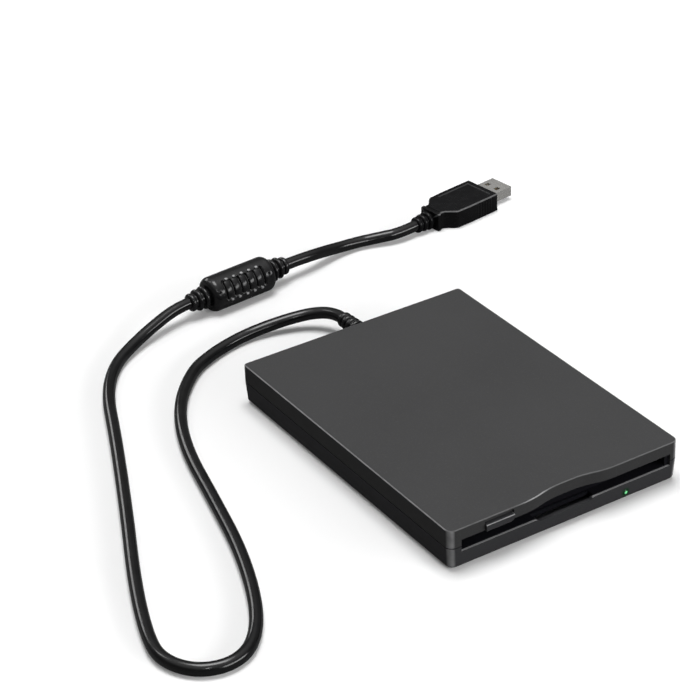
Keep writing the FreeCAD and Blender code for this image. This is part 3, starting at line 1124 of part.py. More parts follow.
def drive_board():
    """The drive's control board: a strip at the front, one along the right side and an area at the back."""
    body = new_body("drive_board")
    front = DRIVE_FRONT + " + 1.5"
    strip = DRIVE_FRONT + " + 1.5 + front_strip"
    rear = DRIVE_FRONT + " + rear_board_front"
    back = DRIVE_BACK + " - chassis_wall - board_margin"
    inner = "board_side - side_strip"
    plan = polygon(new_sketch(body, height=DECK), [
        ("-board_side", front), ("board_side", front), ("board_side", back), ("rear_board_left", back),
        ("rear_board_left", rear), (inner, rear), (inner, strip), ("-board_side", strip)])
    pad(body, plan, "board_thick")
    node(body, "drive_board")
    edge = "(board_side - chip_gap)"
    column = "(rear_board_left + chip_gap)"
    chips = [(column, rear + " + chip_gap + small_chip", "main_chip"),
             (column, rear + " + 2 * chip_gap + small_chip + main_chip", "motor_chip"),
             (edge + " - small_chip", rear + " + chip_gap", "small_chip"),
             (edge + " - small_chip", SPINDLE_Y, "small_chip"),
             ("-board_side / 2 - small_chip", front + " + chip_gap", "small_chip"),
             ("-motor_chip", front + " + chip_gap", "motor_chip")]
    solids = [block((left, near, BOARD_TOP),
                    ("%s + %s" % (left, size), "%s + %s" % (near, size), BOARD_TOP + " + chip_height"))
              for left, near, size in chips]
    node(group(*solids), "drive_chips")


def switches():
    """Three small switches that feel the disk's edge and holes, each with its own plunger."""
    y = DRIVE_FRONT + " + plunger_y"
    places = [("-plunger_x", "protect_plunger"), ("plunger_x", "density_plunger"),
              ("media_x", "media_plunger")]
    housings = []
    for x, label in places:
        box = block((x + " - switch_width / 2", y + " - switch_depth / 2", BOARD_TOP),
                    (x + " + switch_width / 2", y + " + switch_depth / 2", BOARD_TOP + " + switch_height"))
        housings.append(cut(box, rod((x, y, BOARD_TOP), "switch_height", "plunger_radius + running_fit")))
        low = BOARD_TOP + " + plunger_travel + 0.05"
        plunger = rod((x, y, low), "switch_height + 0.1", "plunger_radius")
        node(rounded(plunger, "plunger_radius / 3",
                     lambda edge: edge.BoundBox.ZMin > number(BOARD_TOP + " + switch_height") + 0.1), label)
    node(group(*housings), "switch_block")


def usb_board():
    """The converter board behind the drive, its chips, and the flat cable that joins the two boards."""
    low = FLOOR + " + usb_board_rise"
    top = low + " + board_thick"
    front = "usb_board_front"
    node(block(("-usb_board_width / 2", front, low),
               ("usb_board_width / 2", front + " + usb_board_depth", top)), "usb_board")
    middle = "(usb_board_front + usb_board_depth / 2)"
    solids = []
    for shift, size in (("-3", "0.6 * motor_chip"), ("-1", "0.9 * motor_chip"),
                        ("1.6", "0.6 * motor_chip")):
        left = "%s * main_chip" % shift
        solids.append(block((left, "%s - %s / 2" % (middle, size), top),
                            ("%s + %s" % (left, size), "%s + %s / 2" % (middle, size),
                             top + " + chip_height")))
    node(group(*solids), "usb_chips")
    left, right = "(usb_board_width / 2 + connector_inset - connector_width)", "usb_board_width / 2"
    rear_edge = DRIVE_BACK + " - chassis_wall - board_margin"
    inner = block((left, rear_edge + " - connector_depth", BOARD_TOP),
                  (right, rear_edge, BOARD_TOP + " + connector_height"))
    outer = block((left, front, top), (right, front + " + connector_depth", top + " + connector_height"))
    node(group(inner, outer), "flex_connectors")
    body = new_body("ribbon")
    first, last = BOARD_TOP + " + connector_height / 2", top + " + connector_height / 2"
    side = polygon(new_sketch(body, "YZ_Plane", left + " + ribbon_margin"), [
        (rear_edge, first), (rear_edge + " + 0.7", first), (front + " - 0.7", last), (front, last),
        (front, last + " + ribbon_thick"), (front + " - 0.7", last + " + ribbon_thick"),
        (rear_edge + " + 0.7", first + " + ribbon_thick"), (rear_edge, first + " + ribbon_thick")])
    pad(body, side, "%s - %s - 2 * ribbon_margin" % (right, left))
    node(body, "ribbon_cable")


# ---- cord

def tube(points, radius):
    """A round tube along straight runs joined by tangent arcs. Prints the arcs' radii."""
    spots = [FreeCAD.Vector(*point) for point in points]
    edges_made, radii = [], []
    start = spots[0]
    for before, corner, after in zip(spots, spots[1:], spots[2:]):
        arriving, leaving = (corner - before), (after - corner)
        turn = arriving.getAngle(leaving)
        reach = 0.45 * min(arriving.Length, leaving.Length)
        radii.append(reach / math.tan(turn / 2))
        arriving.normalize()
        leaving.normalize()
        arc_start, arc_end = corner - arriving * reach, corner + leaving * reach
        towards = (leaving - arriving).normalize()
        centre = corner + towards * (radii[-1] / math.cos(turn / 2))
        middle = centre - towards * radii[-1]
        edges_made.append(Part.LineSegment(start, arc_start).toShape())
        edges_made.append(Part.Arc(arc_start, middle, arc_end).toShape())
        start = arc_end
    edges_made.append(Part.LineSegment(start, spots[-1]).toShape())
    path = Part.Wire(edges_made)
    section = Part.Wire(Part.makeCircle(radius, spots[0], spots[1] - spots[0]))
    solid = path.makePipeShell([section], True, True)
    share = solid.Volume / (math.pi * radius ** 2 * path.Length)
    print("tube %.1f mm long, volume %.4f of its section times length, radii %s"
          % (path.Length, share, [round(r, 1) for r in radii]))
    return solid


def strain_relief():
    """The ringed sleeve that grips the back wall and tapers along the cord."""
    parts = [rod(("cord_x", RELIEF_START, "cord_z"), "relief_flange_thick", "relief_flange", "y"),
             rod(("cord_x", RELIEF_START, "cord_z"), "%s - %s + 0.1" % (BACK, RELIEF_START),
                 "relief_neck", "y"),
             rod(("cord_x", BACK + " + 0.05", "cord_z"), "1.3", "relief_root", "y"),
             cone(("cord_x", BACK + " + 0.05", "cord_z"), "relief_length - 0.05",
                  "relief_root - relief_ring", "relief_tip - relief_ring", "y")]
    for n in range(1, 7):
        share = "(relief_length - relief_rib) / relief_length * %d / relief_rings" % n
        radius = "relief_root + (relief_tip - relief_root) * %s" % share
        near = "%s + relief_length * %s" % (BACK, share)
        parts.append(rod(("cord_x", near, "cord_z"), "relief_rib", radius, "y"))
    return node(fuse(*parts), "strain_relief")


def cord_wires():
    """The cord's four cores, bent down from the strain relief to the converter board."""
    low = number(FLOOR + " + usb_board_rise + board_thick")
    start_y, foot_y = number(RELIEF_START), number("usb_board_front + usb_board_depth / 2")
    height = number("cord_z")
    wires = []
    for offset in (-1.5, -0.5, 0.5, 1.5):
        x = number("cord_x") + offset * number("core_pitch")
        wire = doc.addObject("Part::Feature", "Core")
        wire.Shape = tube([(x, start_y, height), (x, foot_y, height), (x, foot_y, low)],
                          number("core_wire"))
        wires.append(wire)
    return node(group(*wires), "cord_wires")


def along(x, y, turn, reach, z):
    """A point at a distance from a place, along a direction in plan."""
    angle = math.radians(turn)
    return (x + reach * math.cos(angle), y + reach * math.sin(angle), z)


def cords():
    """The cord's two stretches, laid on the table: case to ferrite, and ferrite to plug."""
    exit_point = (number("cord_x"), number(BACK + " + relief_length"), number("cord_z"))
    half = number("ferrite_length / 2 + ferrite_relief")
    choke = [number(name) for name in ("ferrite_x", "ferrite_y", "ferrite_angle")]
    grip = [number(name) for name in ("plug_x", "plug_y", "plug_angle")]
    tail = number("plug_relief")
    run_in, run_out = number("lead_in"), number("lead_out")
    lead_in, near_end, far_end, lead_out = (
        along(*choke, reach, number("ferrite_radius"))
        for reach in (-half - run_in, -half, half, half + run_out))
    plug_in, plug_tail = (along(*grip, reach, number("plug_thick / 2"))
                          for reach in (-tail - run_out, -tail))
    first_route = [exit_point] + FIRST_ROUTE + [lead_in, near_end]
    second_route = [far_end, lead_out] + SECOND_ROUTE + [plug_in, plug_tail]
    for label, route in (("usb_cord", first_route), ("plug_cord", second_route)):
        cord = doc.addObject("Part::Feature", label)
        cord.Shape = tube(route, number("cord_radius"))
        node(cord, label)


# The cord's free points, in order from the case, with Z at its centre line.
FIRST_ROUTE = [
    (7.3, 98.2, 8.7), (4.4, 105.0, 7.9), (-1.2, 110.0, 6.9), (-9.3, 112.7, 5.8), (-19.0, 113.0, 4.5),
    (-30.5, 112.0, 3.2), (-44.5, 108.2, 2.5), (-60.0, 99.0, 2.5), (-76.0, 79.5, 2.5), (-88.5, 52.0, 2.5),
    (-98.0, 15.5, 2.5), (-107.0, -19.5, 2.5), (-119.0, -51.0, 2.5), (-130.8, -69.2, 2.5),
    (-142.9, -73.9, 2.5), (-154.7, -69.6, 2.5), (-161.0, -58.2, 2.5), (-158.0, -42.0, 2.5),
    (-147.5, -15.5, 2.5), (-128.0, 28.0, 2.5), (-107.0, 76.0, 2.5), (-95.0, 104.0, 2.5),
    (-80.5, 125.5, 2.5), (-64.0, 137.5, 3.6),
]
SECOND_ROUTE = [(42.0, 151.8, 3.4), (56.0, 152.3, 2.8)]


def ferrite():
    """The choke: a sleeve core on the cord inside a moulded cover with a ribbed window and short reliefs."""
    half = "(ferrite_length / 2)"
    reach = "(ferrite_length / 2 + ferrite_relief)"
    barrel = rounded(rod(("-" + half, "0", "0"), "ferrite_length", "ferrite_radius", "x"), "ferrite_round",
                     lambda edge: edge.BoundBox.XLength < 0.01)
    sleeves = [rod(("-" + reach, "0", "0"), "2 * " + reach, "cord_radius + collar_wall", "x")]
    for n in (0, 1):
        for sign in ("-", ""):
            middle = "%s(%s - collar_ring_inset - %d * collar_ring_pitch)" % (sign, reach, n)
            radius = "ferrite_collar + collar_ring_rise + %d * collar_ring_step" % n
            sleeves.append(rod((middle + " - collar_ring / 2", "0", "0"), "collar_ring", radius, "x"))
    grooves = []
    for n in range(-3, 4):
        outer = doc.addObject("Part::Cylinder", "Ring")
        bind(outer, Radius="ferrite_radius + 1", Height="groove_width", Angle="100")
        inner = doc.addObject("Part::Cylinder", "RingCore")
        bind(inner, Radius="ferrite_radius - groove_depth", Height="groove_width", Angle="100")
        ring = cut(outer, inner)
        along_x = FreeCAD.Rotation(FreeCAD.Vector(0, 1, 0), 90)
        ring.Placement.Rotation = along_x * FreeCAD.Rotation(FreeCAD.Vector(0, 0, 1), 145)
        grooves.append(place(ring, "%d * groove_pitch - groove_width / 2" % n))
    core_room = rod(("-core_length / 2", "0", "0"), "core_length", "core_radius", "x")
    cable_room = rod(("-" + reach, "0", "0"), "2 * " + reach, "cord_radius", "x")
    cover = cut(fuse(barrel, *sleeves), core_room, cable_room, *grooves)
    core = cut(rod(("-core_length / 2", "0", "0"), "core_length", "core_radius", "x"),
               rod(("-core_length / 2", "0", "0"), "core_length", "cord_radius + 0.2", "x"))
    cable = group(rod(("-" + reach, "0", "0"), "2 * " + reach, "cord_radius", "x"))
    for piece, label in ((cover, "ferrite_cover"), (core, "ferrite_core"), (cable, "cord_through")):
        node(place(piece, "ferrite_x", "ferrite_y", "ferrite_radius", (0, 0, 1), "ferrite_angle"), label)


def plug():
    """The plug: a waisted overmould with a bare inset panel, a metal shell, its insert and four contacts."""
    body = new_body("plug_grip")
    half, waist = "plug_width / 2", "plug_waist / 2"
    shoulder = "plug_length - plug_body"
    plan = polygon(new_sketch(body, height="-plug_thick / 2"), [
        ("0", "-" + waist), ("plug_neck", "-" + waist), (shoulder, "-" + half), ("plug_length", "-" + half),
        ("plug_length", half), (shoulder, half), ("plug_neck", waist), ("0", waist)])
    pad(body, plan, "plug_thick")
    bend = lambda edge: upright(edge) and 0.1 < centre_of(edge).x < number("plug_length") - 0.1
    fillet(body, "plug_bend", bend)
    level = number("plug_thick / 2")
    flat = lambda edge: edge.BoundBox.ZLength < 0.01 and abs(abs(edge.BoundBox.ZMin) - level) < 0.01
    fillet(body, "plug_round", lambda edge: flat(edge) and centre_of(edge).x < number("plug_length") - 0.1)
    panel = rectangle(new_sketch(body, height="plug_thick / 2"),
                      (shoulder + " + panel_start", "-%s + panel_margin" % half),
                      ("plug_length - panel_margin", half + " - panel_margin"))
    pocket(body, panel, "panel_inset")
    socket = rectangle(new_sketch(body, "YZ_Plane", "plug_length"),
                       ("-contact_shell_width / 2", "-contact_shell_height / 2"),
                       ("contact_shell_width / 2", "contact_shell_height / 2"))
    pocket(body, socket, "plug_socket")
    sleeve = [rod(("-plug_relief", "0", "0"), "plug_relief + 0.5", "cord_radius + 0.35", "x"),
              rod(("-1.2", "0", "0"), "1.6", "plug_collar", "x")]
    for n in range(4):
        near = "-plug_relief + plug_ring_start + %d * plug_ring_pitch" % n
        sleeve.append(rod((near, "0", "0"), "plug_ring",
                          "cord_radius + plug_ring_rise + %d * plug_ring_step" % n, "x"))
    moulded = fuse(body, *sleeve)
    metal_half, metal_top = "contact_shell_width / 2", "contact_shell_height / 2"
    end = "plug_length + contact_shell_length"
    inside = "contact_shell_sheet"
    metal = block(("plug_length - plug_socket", "-" + metal_half, "-" + metal_top),
                  (end, metal_half, metal_top))
    bore = block(("plug_length - plug_socket - 1", "-%s + %s" % (metal_half, inside),
                  "-%s + %s" % (metal_top, inside)),
                 (end + " + 1", "%s - %s" % (metal_half, inside), "%s - %s" % (metal_top, inside)))
    windows = [block(("plug_length + 4.5", "%s - 1.1" % y, "-5"), ("plug_length + 7", "%s + 1.1" % y, "5"))
               for y in ("-3", "3")]
    plug_shell = cut(metal, bore, *windows)
    root = block(("plug_length - plug_socket", "-%s + %s" % (metal_half, inside),
                  "-%s + %s" % (metal_top, inside)),
                 ("plug_length", "%s - %s" % (metal_half, inside), "%s - %s" % (metal_top, inside)))
    tongue = block(("plug_length - 1", "-%s + %s" % (metal_half, inside), "-%s + %s" % (metal_top, inside)),
                   (end + " - 0.3", "%s - %s" % (metal_half, inside),
                    "-%s + %s + tongue_thick" % (metal_top, inside)))
    insert = fuse(root, tongue)
    strips = []
    for n in (-1.5, -0.5, 0.5, 1.5):
        middle = "%s * contact_pitch" % n
        floor_z = "-%s + %s + tongue_thick" % (metal_top, inside)
        strips.append(block(("plug_length", middle + " - contact_width / 2", floor_z),
                            (end + " - 1.5", middle + " + contact_width / 2",
                             floor_z + " + contact_thick")))
    contacts = group(*strips)
    for piece, label in ((moulded, "plug_overmould"), (plug_shell, "plug_shell"), (insert, "plug_insert"),
                         (contacts, "plug_contacts")):
        node(place(piece, "plug_x", "plug_y", "plug_thick / 2", (0, 0, 1), "plug_angle"), label)


def write_parts():
    """Check every object and write one STEP file for each sub-part."""
    doc.recompute()
    for item in doc.Objects:
        if "Invalid" in item.State or "Error" in item.State:
            raise RuntimeError("%s (%s) failed to recompute" % (item.Name, item.Label))
    labels = [piece.Label for piece in nodes]
    if len(set(labels)) != len(labels):
        raise RuntimeError("two sub-parts share a name")
    for piece in nodes:
        if piece.Shape.isNull() or not piece.Shape.isValid():
            raise RuntimeError("%s has no valid shape" % piece.Label)
    os.makedirs("parts", exist_ok=True)
    for piece in nodes:
        piece.Shape.exportStep("parts/%s.step" % piece.Label)
    print("%d sub-parts written" % len(nodes))


JOBS = (
    lower_shell, upper_shell, rubber_feet, screws, slot_frame, dust_flap, flap_spring, eject_button, lamp,
    chassis, drive_cover, disk_holder, holder_pins, eject_slider, slider_springs, shutter_lever,
    lever_pivot,
    spindle, head_carriage, heads, head_drive, drive_board, switches, usb_board, strain_relief, cord_wires,
    cords, ferrite, plug,
)
for job in JOBS:
    job()
write_parts()
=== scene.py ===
import math

import bpy
import numpy as np
from mathutils import Matrix, Vector


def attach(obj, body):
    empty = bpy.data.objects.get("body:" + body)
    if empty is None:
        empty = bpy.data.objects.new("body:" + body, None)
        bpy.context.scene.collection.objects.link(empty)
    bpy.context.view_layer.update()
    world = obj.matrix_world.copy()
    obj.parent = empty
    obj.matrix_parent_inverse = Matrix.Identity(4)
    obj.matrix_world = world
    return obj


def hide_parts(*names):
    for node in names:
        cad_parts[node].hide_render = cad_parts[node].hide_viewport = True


# External floppy disk drive, in metres.
# X runs to the right seen from the slot, Y from the slot to the cord, Z up.

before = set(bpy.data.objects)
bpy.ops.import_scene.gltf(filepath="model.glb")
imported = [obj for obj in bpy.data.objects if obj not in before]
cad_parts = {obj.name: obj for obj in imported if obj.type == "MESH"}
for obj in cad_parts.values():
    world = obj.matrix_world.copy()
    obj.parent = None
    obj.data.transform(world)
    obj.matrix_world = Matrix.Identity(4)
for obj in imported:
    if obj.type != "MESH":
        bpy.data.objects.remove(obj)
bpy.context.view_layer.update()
MM = 0.001


# ---- shader nodes

def put(tree, kind, values=None, **settings):
    """Add a shader node, with its settings and the values of its unlinked inputs."""
    item = tree.nodes.new("ShaderNode" + kind)
    for key, value in settings.items():
        setattr(item, key, value)
    for key, value in (values or {}).items():
        item.inputs[key].default_value = value
    return item


def new_finish(name, **values):
    """A material with a Principled shader whose even values sit on its own sockets."""
    material = bpy.data.materials.new(name)
    material.use_nodes = True
    tree = material.node_tree
    tree.nodes.clear()
    output = put(tree, "OutputMaterial")
    shader = put(tree, "BsdfPrincipled")
    for key, value in values.items():
        shader.inputs[key.replace("_", " ")].default_value = value
    tree.links.new(shader.outputs[0], output.inputs[0])
    return material, tree, shader


def object_place(tree):
    """The Object coordinates."""
    return put(tree, "TexCoord").outputs["Object"]


def place_in(tree, stretch=(1, 1, 1)):
    """Object coordinates, stretched along each axis."""
    scaled = put(tree, "Mapping", {"Scale": stretch})
    tree.links.new(object_place(tree), scaled.inputs["Vector"])
    return scaled.outputs[0]


def three_parts(tree, source):
    """The X, Y and Z of a vector."""
    item = put(tree, "SeparateXYZ")
    tree.links.new(source, item.inputs[0])
    return item.outputs


def noise(tree, per_metre, detail=2.0, stretch=(1, 1, 1)):
    """Cloudy noise with so many cells to the metre, from 0 to 1."""
    item = put(tree, "TexNoise", {"Scale": per_metre, "Detail": detail, "Roughness": 0.5})
    tree.links.new(place_in(tree, stretch), item.inputs["Vector"])
    return item.outputs["Fac"]


def spread(tree, source, low, high, to_low=0.0, to_high=1.0, smooth=False):
    """The part of a value between low and high, carried to a new range and held there."""
    item = put(tree, "MapRange", {"From Min": low, "From Max": high, "To Min": to_low, "To Max": to_high})
    if smooth:
        item.interpolation_type = "SMOOTHSTEP"
    tree.links.new(source, item.inputs["Value"])
    return item.outputs["Result"]


def combine(tree, kind, *values):
    """Sockets and numbers taken together by one kind of arithmetic, from left to right."""
    result = values[0]
    for value in values[1:]:
        item = put(tree, "Math", operation=kind)
        for n, part in enumerate((result, value)):
            if isinstance(part, (int, float)):
                item.inputs[n].default_value = part
            else:
                tree.links.new(part, item.inputs[n])
        result = item.outputs[0]
    return result


def without_sign(tree, value):
    """The value, made positive."""
    item = put(tree, "Math", operation="ABSOLUTE")
    tree.links.new(value, item.inputs[0])
    return item.outputs[0]


def two_tone(tree, share, first, second):
    """The first colour where share is 0 and the second where it is 1. Either may be a socket."""
    item = put(tree, "Mix", data_type="RGBA")
    tree.links.new(share, item.inputs[0])
    for n, value in ((6, first), (7, second)):
        if isinstance(value, tuple):
            item.inputs[n].default_value = (*value, 1)
        else:
            tree.links.new(value, item.inputs[n])
    return item.outputs[2]


def relief_from(tree, shader, height, depth):
    """Raise the surface by a height of 0 to 1 times the depth in metres."""
    bump = put(tree, "Bump", {"Distance": depth})
    tree.links.new(height, bump.inputs["Height"])
    tree.links.new(bump.outputs[0], shader.inputs["Normal"])


def shade(tone, factor):
    """A colour made darker or lighter, and no lighter than white."""
    return tuple(min(1.0, part * factor) for part in tone)


# ---- finishes

# the case's own places, in metres: how far out its upright corners start, where the front's wave is steep
# and how far that reaches, where the slot's ledge starts and its height, and the lamp
CORNERS_FROM = (0.042, 0.046)
WAVE_STEEP, WAVE_REACH = -0.0125, (0.002, 0.009)
LEDGE_FROM, LEDGE_RISE = (-0.0699, -0.0701), (0.0072, 0.0079)
LAMP_X, LAMP_FRONT, LAMP_Z = 0.0272, -0.071, 0.0037

# how strong the painted highlight is on each edge, where 1 is the highlight tone. The wave's is what it adds
# to its rim, as a multiple of what the rim has.
CORNER_HIGHLIGHT, SIDE_HIGHLIGHT, WAVE_HIGHLIGHT, LEDGE_HIGHLIGHT = 0.95, 0.85, 2.6, 1.6


def painted_edge_highlight(tree, rim_from, front_highlight, ledge):
    """How strongly moulded plastic's edges are painted pale as a highlight, by the lean of its surface and
    place.

    On an upright corner it follows the product of the normal's X and Y, which is a half midway round. On a
    rim above the height given it is where the normal's Z is between 0.1 and 0.985. It is weaker along the
    front than along the sides, but for the steep part of the wave. The slot's ledge has it where it faces up,
    right behind its edge.
    """
    normal = three_parts(tree, put(tree, "NewGeometry").outputs["Normal"])
    place = three_parts(tree, object_place(tree))
    faces_front, rim_fade, ledge_fade = (-0.25, -0.05), 0.0003, 0.0001
    round_corner = without_sign(tree, combine(tree, "MULTIPLY", normal[0], normal[1]))
    corner = combine(tree, "MULTIPLY", spread(tree, round_corner, 0.1, 0.5, 0.0, CORNER_HIGHLIGHT, smooth=True),
                     spread(tree, without_sign(tree, place[0]), *CORNERS_FROM))
    rim = combine(tree, "MULTIPLY", spread(tree, normal[2], 0.1, 0.4, smooth=True),
                  spread(tree, normal[2], 0.985, 0.9, smooth=True),
                  spread(tree, place[2], rim_from, rim_from + rim_fade),
                  spread(tree, normal[1], *faces_front, front_highlight, SIDE_HIGHLIGHT))
    from_wave = without_sign(tree, combine(tree, "ADD", place[0], -WAVE_STEEP))
    wave = combine(tree, "MULTIPLY", spread(tree, from_wave, *WAVE_REACH, 1.0, 0.0, smooth=True),
                   spread(tree, normal[1], *faces_front, WAVE_HIGHLIGHT, 0.0))
    rim = combine(tree, "MULTIPLY", rim, combine(tree, "ADD", wave, 1.0))
    edge = combine(tree, "MAXIMUM", corner, rim)
    if ledge:
        low, high = LEDGE_RISE
        sill = combine(tree, "MULTIPLY", spread(tree, place[1], *LEDGE_FROM),
                       spread(tree, place[2], low, low + ledge_fade),
                       spread(tree, place[2], high, high - ledge_fade),
                       spread(tree, normal[2], 0.3, 0.9), LEDGE_HIGHLIGHT)
        edge = combine(tree, "MAXIMUM", edge, sill)
    # the painted highlight comes and goes in patches
    patches = spread(tree, noise(tree, 260, 3), 0.25, 0.6, 0.6, 1.0)
    return combine(tree, "MULTIPLY", edge, patches)


def painted_lamp_glow(tree, colour):
    """Painted glow: the lamp's green painted onto the wall round it, out to 2.4 mm from it."""
    off = put(tree, "VectorMath", {1: (LAMP_X, LAMP_FRONT, LAMP_Z)}, operation="DISTANCE")
    tree.links.new(object_place(tree), off.inputs[0])
    near = spread(tree, off.outputs["Value"], 0.0024, 0.001, 0.0, 0.85, smooth=True)
    return two_tone(tree, near, colour, (0.003, 0.045, 0.013))


def spark_plastic(name, tone, roughness=0.5, highlight_tone=None, rim_from=0.0166, front_highlight=0.25, tray=False,
                  grain=2600):
    """Moulded plastic with a fine spark texture, faint flow clouds and, where a highlight tone is given,
    painted highlights on its edges.

    The tray also has a painted highlight on the slot's ledge and a painted green glow round the lamp.
    """
    material, tree, shader = new_finish(name, Roughness=roughness, Specular_IOR_Level=0.12)
    clouds = spread(tree, noise(tree, 18, 3), 0.35, 0.65)
    colour = two_tone(tree, clouds, shade(tone, 0.96), shade(tone, 1.04))
    specks = spread(tree, noise(tree, grain, 1), 0.58, 0.75)
    colour = two_tone(tree, specks, colour, shade(tone, 1.25))
    # the edges get a painted highlight in the given tone
    if highlight_tone:
        colour = two_tone(tree, painted_edge_highlight(tree, rim_from, front_highlight, tray), colour, highlight_tone)
    # on the tray, a painted green glow round the lamp
    if tray:
        colour = painted_lamp_glow(tree, colour)
    tree.links.new(colour, shader.inputs["Base Color"])
    rough = spread(tree, noise(tree, 60, 4), 0.3, 0.7, roughness - 0.04, roughness + 0.05)
    tree.links.new(rough, shader.inputs["Roughness"])
    relief_from(tree, shader, noise(tree, grain, 2), 0.00001)
    return material


def smooth_plastic(name, tone, roughness, sheen, flecks=1.25):
    """Smooth moulded plastic with slight clouds in its colour and its gloss."""
    material, tree, shader = new_finish(name, Specular_IOR_Level=sheen)
    clouds = spread(tree, noise(tree, 90, 4), 0.3, 0.7)
    colour = two_tone(tree, clouds, shade(tone, 1 / flecks), shade(tone, flecks))
    tree.links.new(colour, shader.inputs["Base Color"])
    rough = spread(tree, noise(tree, 240, 3), 0.3, 0.7, roughness - 0.06, roughness + 0.06)
    tree.links.new(rough, shader.inputs["Roughness"])
    relief_from(tree, shader, noise(tree, 900, 3), 0.000006)
    return material


def soft_vinyl(name, tone, roughness, sheen=0.5, ripple=700, depth=0.00001):
    """Soft black vinyl: a little uneven in gloss, with a faint orange-peel skin.

    Where a piece's own highlight attribute is 1 the skin is painted pale as a highlight. It is 0 on pieces
    without it.
    """
    material, tree, shader = new_finish(name, Specular_IOR_Level=sheen)
    clouds = spread(tree, noise(tree, 160, 4), 0.3, 0.7)
    colour = two_tone(tree, clouds, shade(tone, 0.75), shade(tone, 1.3))
    # painted highlight, in a pale grey, where the piece's highlight attribute is 1
    painted_shine = combine(tree, "MULTIPLY", put(tree, "Attribute", attribute_name="painted_highlight").outputs["Fac"],
                     spread(tree, noise(tree, 500, 2), 0.3, 0.6, 0.6, 1.0))
    tree.links.new(two_tone(tree, painted_shine, colour, (0.34, 0.34, 0.345)), shader.inputs["Base Color"])
    rough = spread(tree, noise(tree, 320, 4), 0.3, 0.7, roughness - 0.05, roughness + 0.07)
    tree.links.new(rough, shader.inputs["Roughness"])
    relief_from(tree, shader, noise(tree, ripple, 3), depth)
    return material


def metal(name, tone, roughness, stretch=(1, 1, 1), grain=1500, depth=0.000004, stain=0.85, metallic=1.0):
    """Bare or plated metal. The stretch draws its grain out along the axis with the smallest number."""
    material, tree, shader = new_finish(name, Metallic=metallic)
    grains = noise(tree, grain, 4, stretch)
    stains = spread(tree, noise(tree, 70, 4), 0.35, 0.7)
    colour = two_tone(tree, stains, tone, shade(tone, stain))
    colour = two_tone(tree, spread(tree, grains, 0.45, 0.75), colour, shade(tone, stain * 0.9))
    tree.links.new(colour, shader.inputs["Base Color"])
    rough = spread(tree, grains, 0.3, 0.7, roughness - 0.07, roughness + 0.1)
    tree.links.new(rough, shader.inputs["Roughness"])
    relief_from(tree, shader, grains, depth)
    return material


def solder_mask(name, tone):
    """Circuit board: green mask over straight copper tracks, which show as paler raised lanes."""
    material, tree, shader = new_finish(name, Specular_IOR_Level=0.5)
    lanes = put(tree, "TexBrick", {"Scale": 420.0, "Mortar Size": 0.11, "Mortar Smooth": 0.2,
                                   "Brick Width": 1.7, "Row Height": 0.55, "Color1": (1, 1, 1, 1),
                                   "Color2": (0, 0, 0, 1), "Mortar": (0.5, 0.5, 0.5, 1)})
    tree.links.new(place_in(tree), lanes.inputs["Vector"])
    patches = spread(tree, noise(tree, 45, 3), 0.4, 0.6)
    colour = two_tone(tree, lanes.outputs["Fac"], shade(tone, 0.8), shade(tone, 1.9))
    colour = two_tone(tree, patches, colour, shade(tone, 1.2))
    tree.links.new(colour, shader.inputs["Base Color"])
    rough = spread(tree, noise(tree, 500, 2), 0.3, 0.7, 0.3, 0.42)
    tree.links.new(rough, shader.inputs["Roughness"])
    relief_from(tree, shader, lanes.outputs["Fac"], 0.00003)
    return material


def winding(name, tone):
    """Enamelled wire under varnish: fine slanting bands, dark between one turn and the next."""
    material, tree, shader = new_finish(name, Metallic=1.0, Coat_Weight=0.5, Coat_Roughness=0.15)
    turns = put(tree, "TexWave", {"Scale": 2600.0, "Distortion": 0.4, "Detail": 1.0}, wave_type="BANDS",
                bands_direction="DIAGONAL")
    tree.links.new(place_in(tree), turns.inputs["Vector"])
    wire = turns.outputs["Fac"]
    tree.links.new(two_tone(tree, wire, shade(tone, 0.45), tone), shader.inputs["Base Color"])
    tree.links.new(spread(tree, wire, 0.0, 1.0, 0.42, 0.24), shader.inputs["Roughness"])
    relief_from(tree, shader, wire, 0.00005)
    return material


def lit_lens(name):
    """The lamp's tinted lens, lit from behind: pale green at its axis and dark green at its rim."""
    material, tree, shader = new_finish(name, Roughness=0.22)
    place = put(tree, "Mapping", {"Location": (-LAMP_X, 0, -LAMP_Z), "Scale": (1, 0, 1)})
    tree.links.new(object_place(tree), place.inputs[0])
    away = put(tree, "VectorMath", operation="LENGTH")
    tree.links.new(place.outputs[0], away.inputs[0])
    uneven = spread(tree, noise(tree, 1500, 2), 0.3, 0.7, -0.0001, 0.0001)
    off = combine(tree, "ADD", away.outputs["Value"], uneven)
    rim = spread(tree, off, 0.0003, 0.00085, smooth=True)
    tint = two_tone(tree, rim, (0.16, 0.62, 0.27), (0.002, 0.03, 0.008))
    tree.links.new(tint, shader.inputs["Base Color"])
    light = two_tone(tree, rim, (0.22, 0.85, 0.33), (0.0, 0.05, 0.01))
    tree.links.new(light, shader.inputs["Emission Color"])
    tree.links.new(spread(tree, off, 0.0003, 0.0008, 0.6, 0.12), shader.inputs["Emission Strength"])
    return material


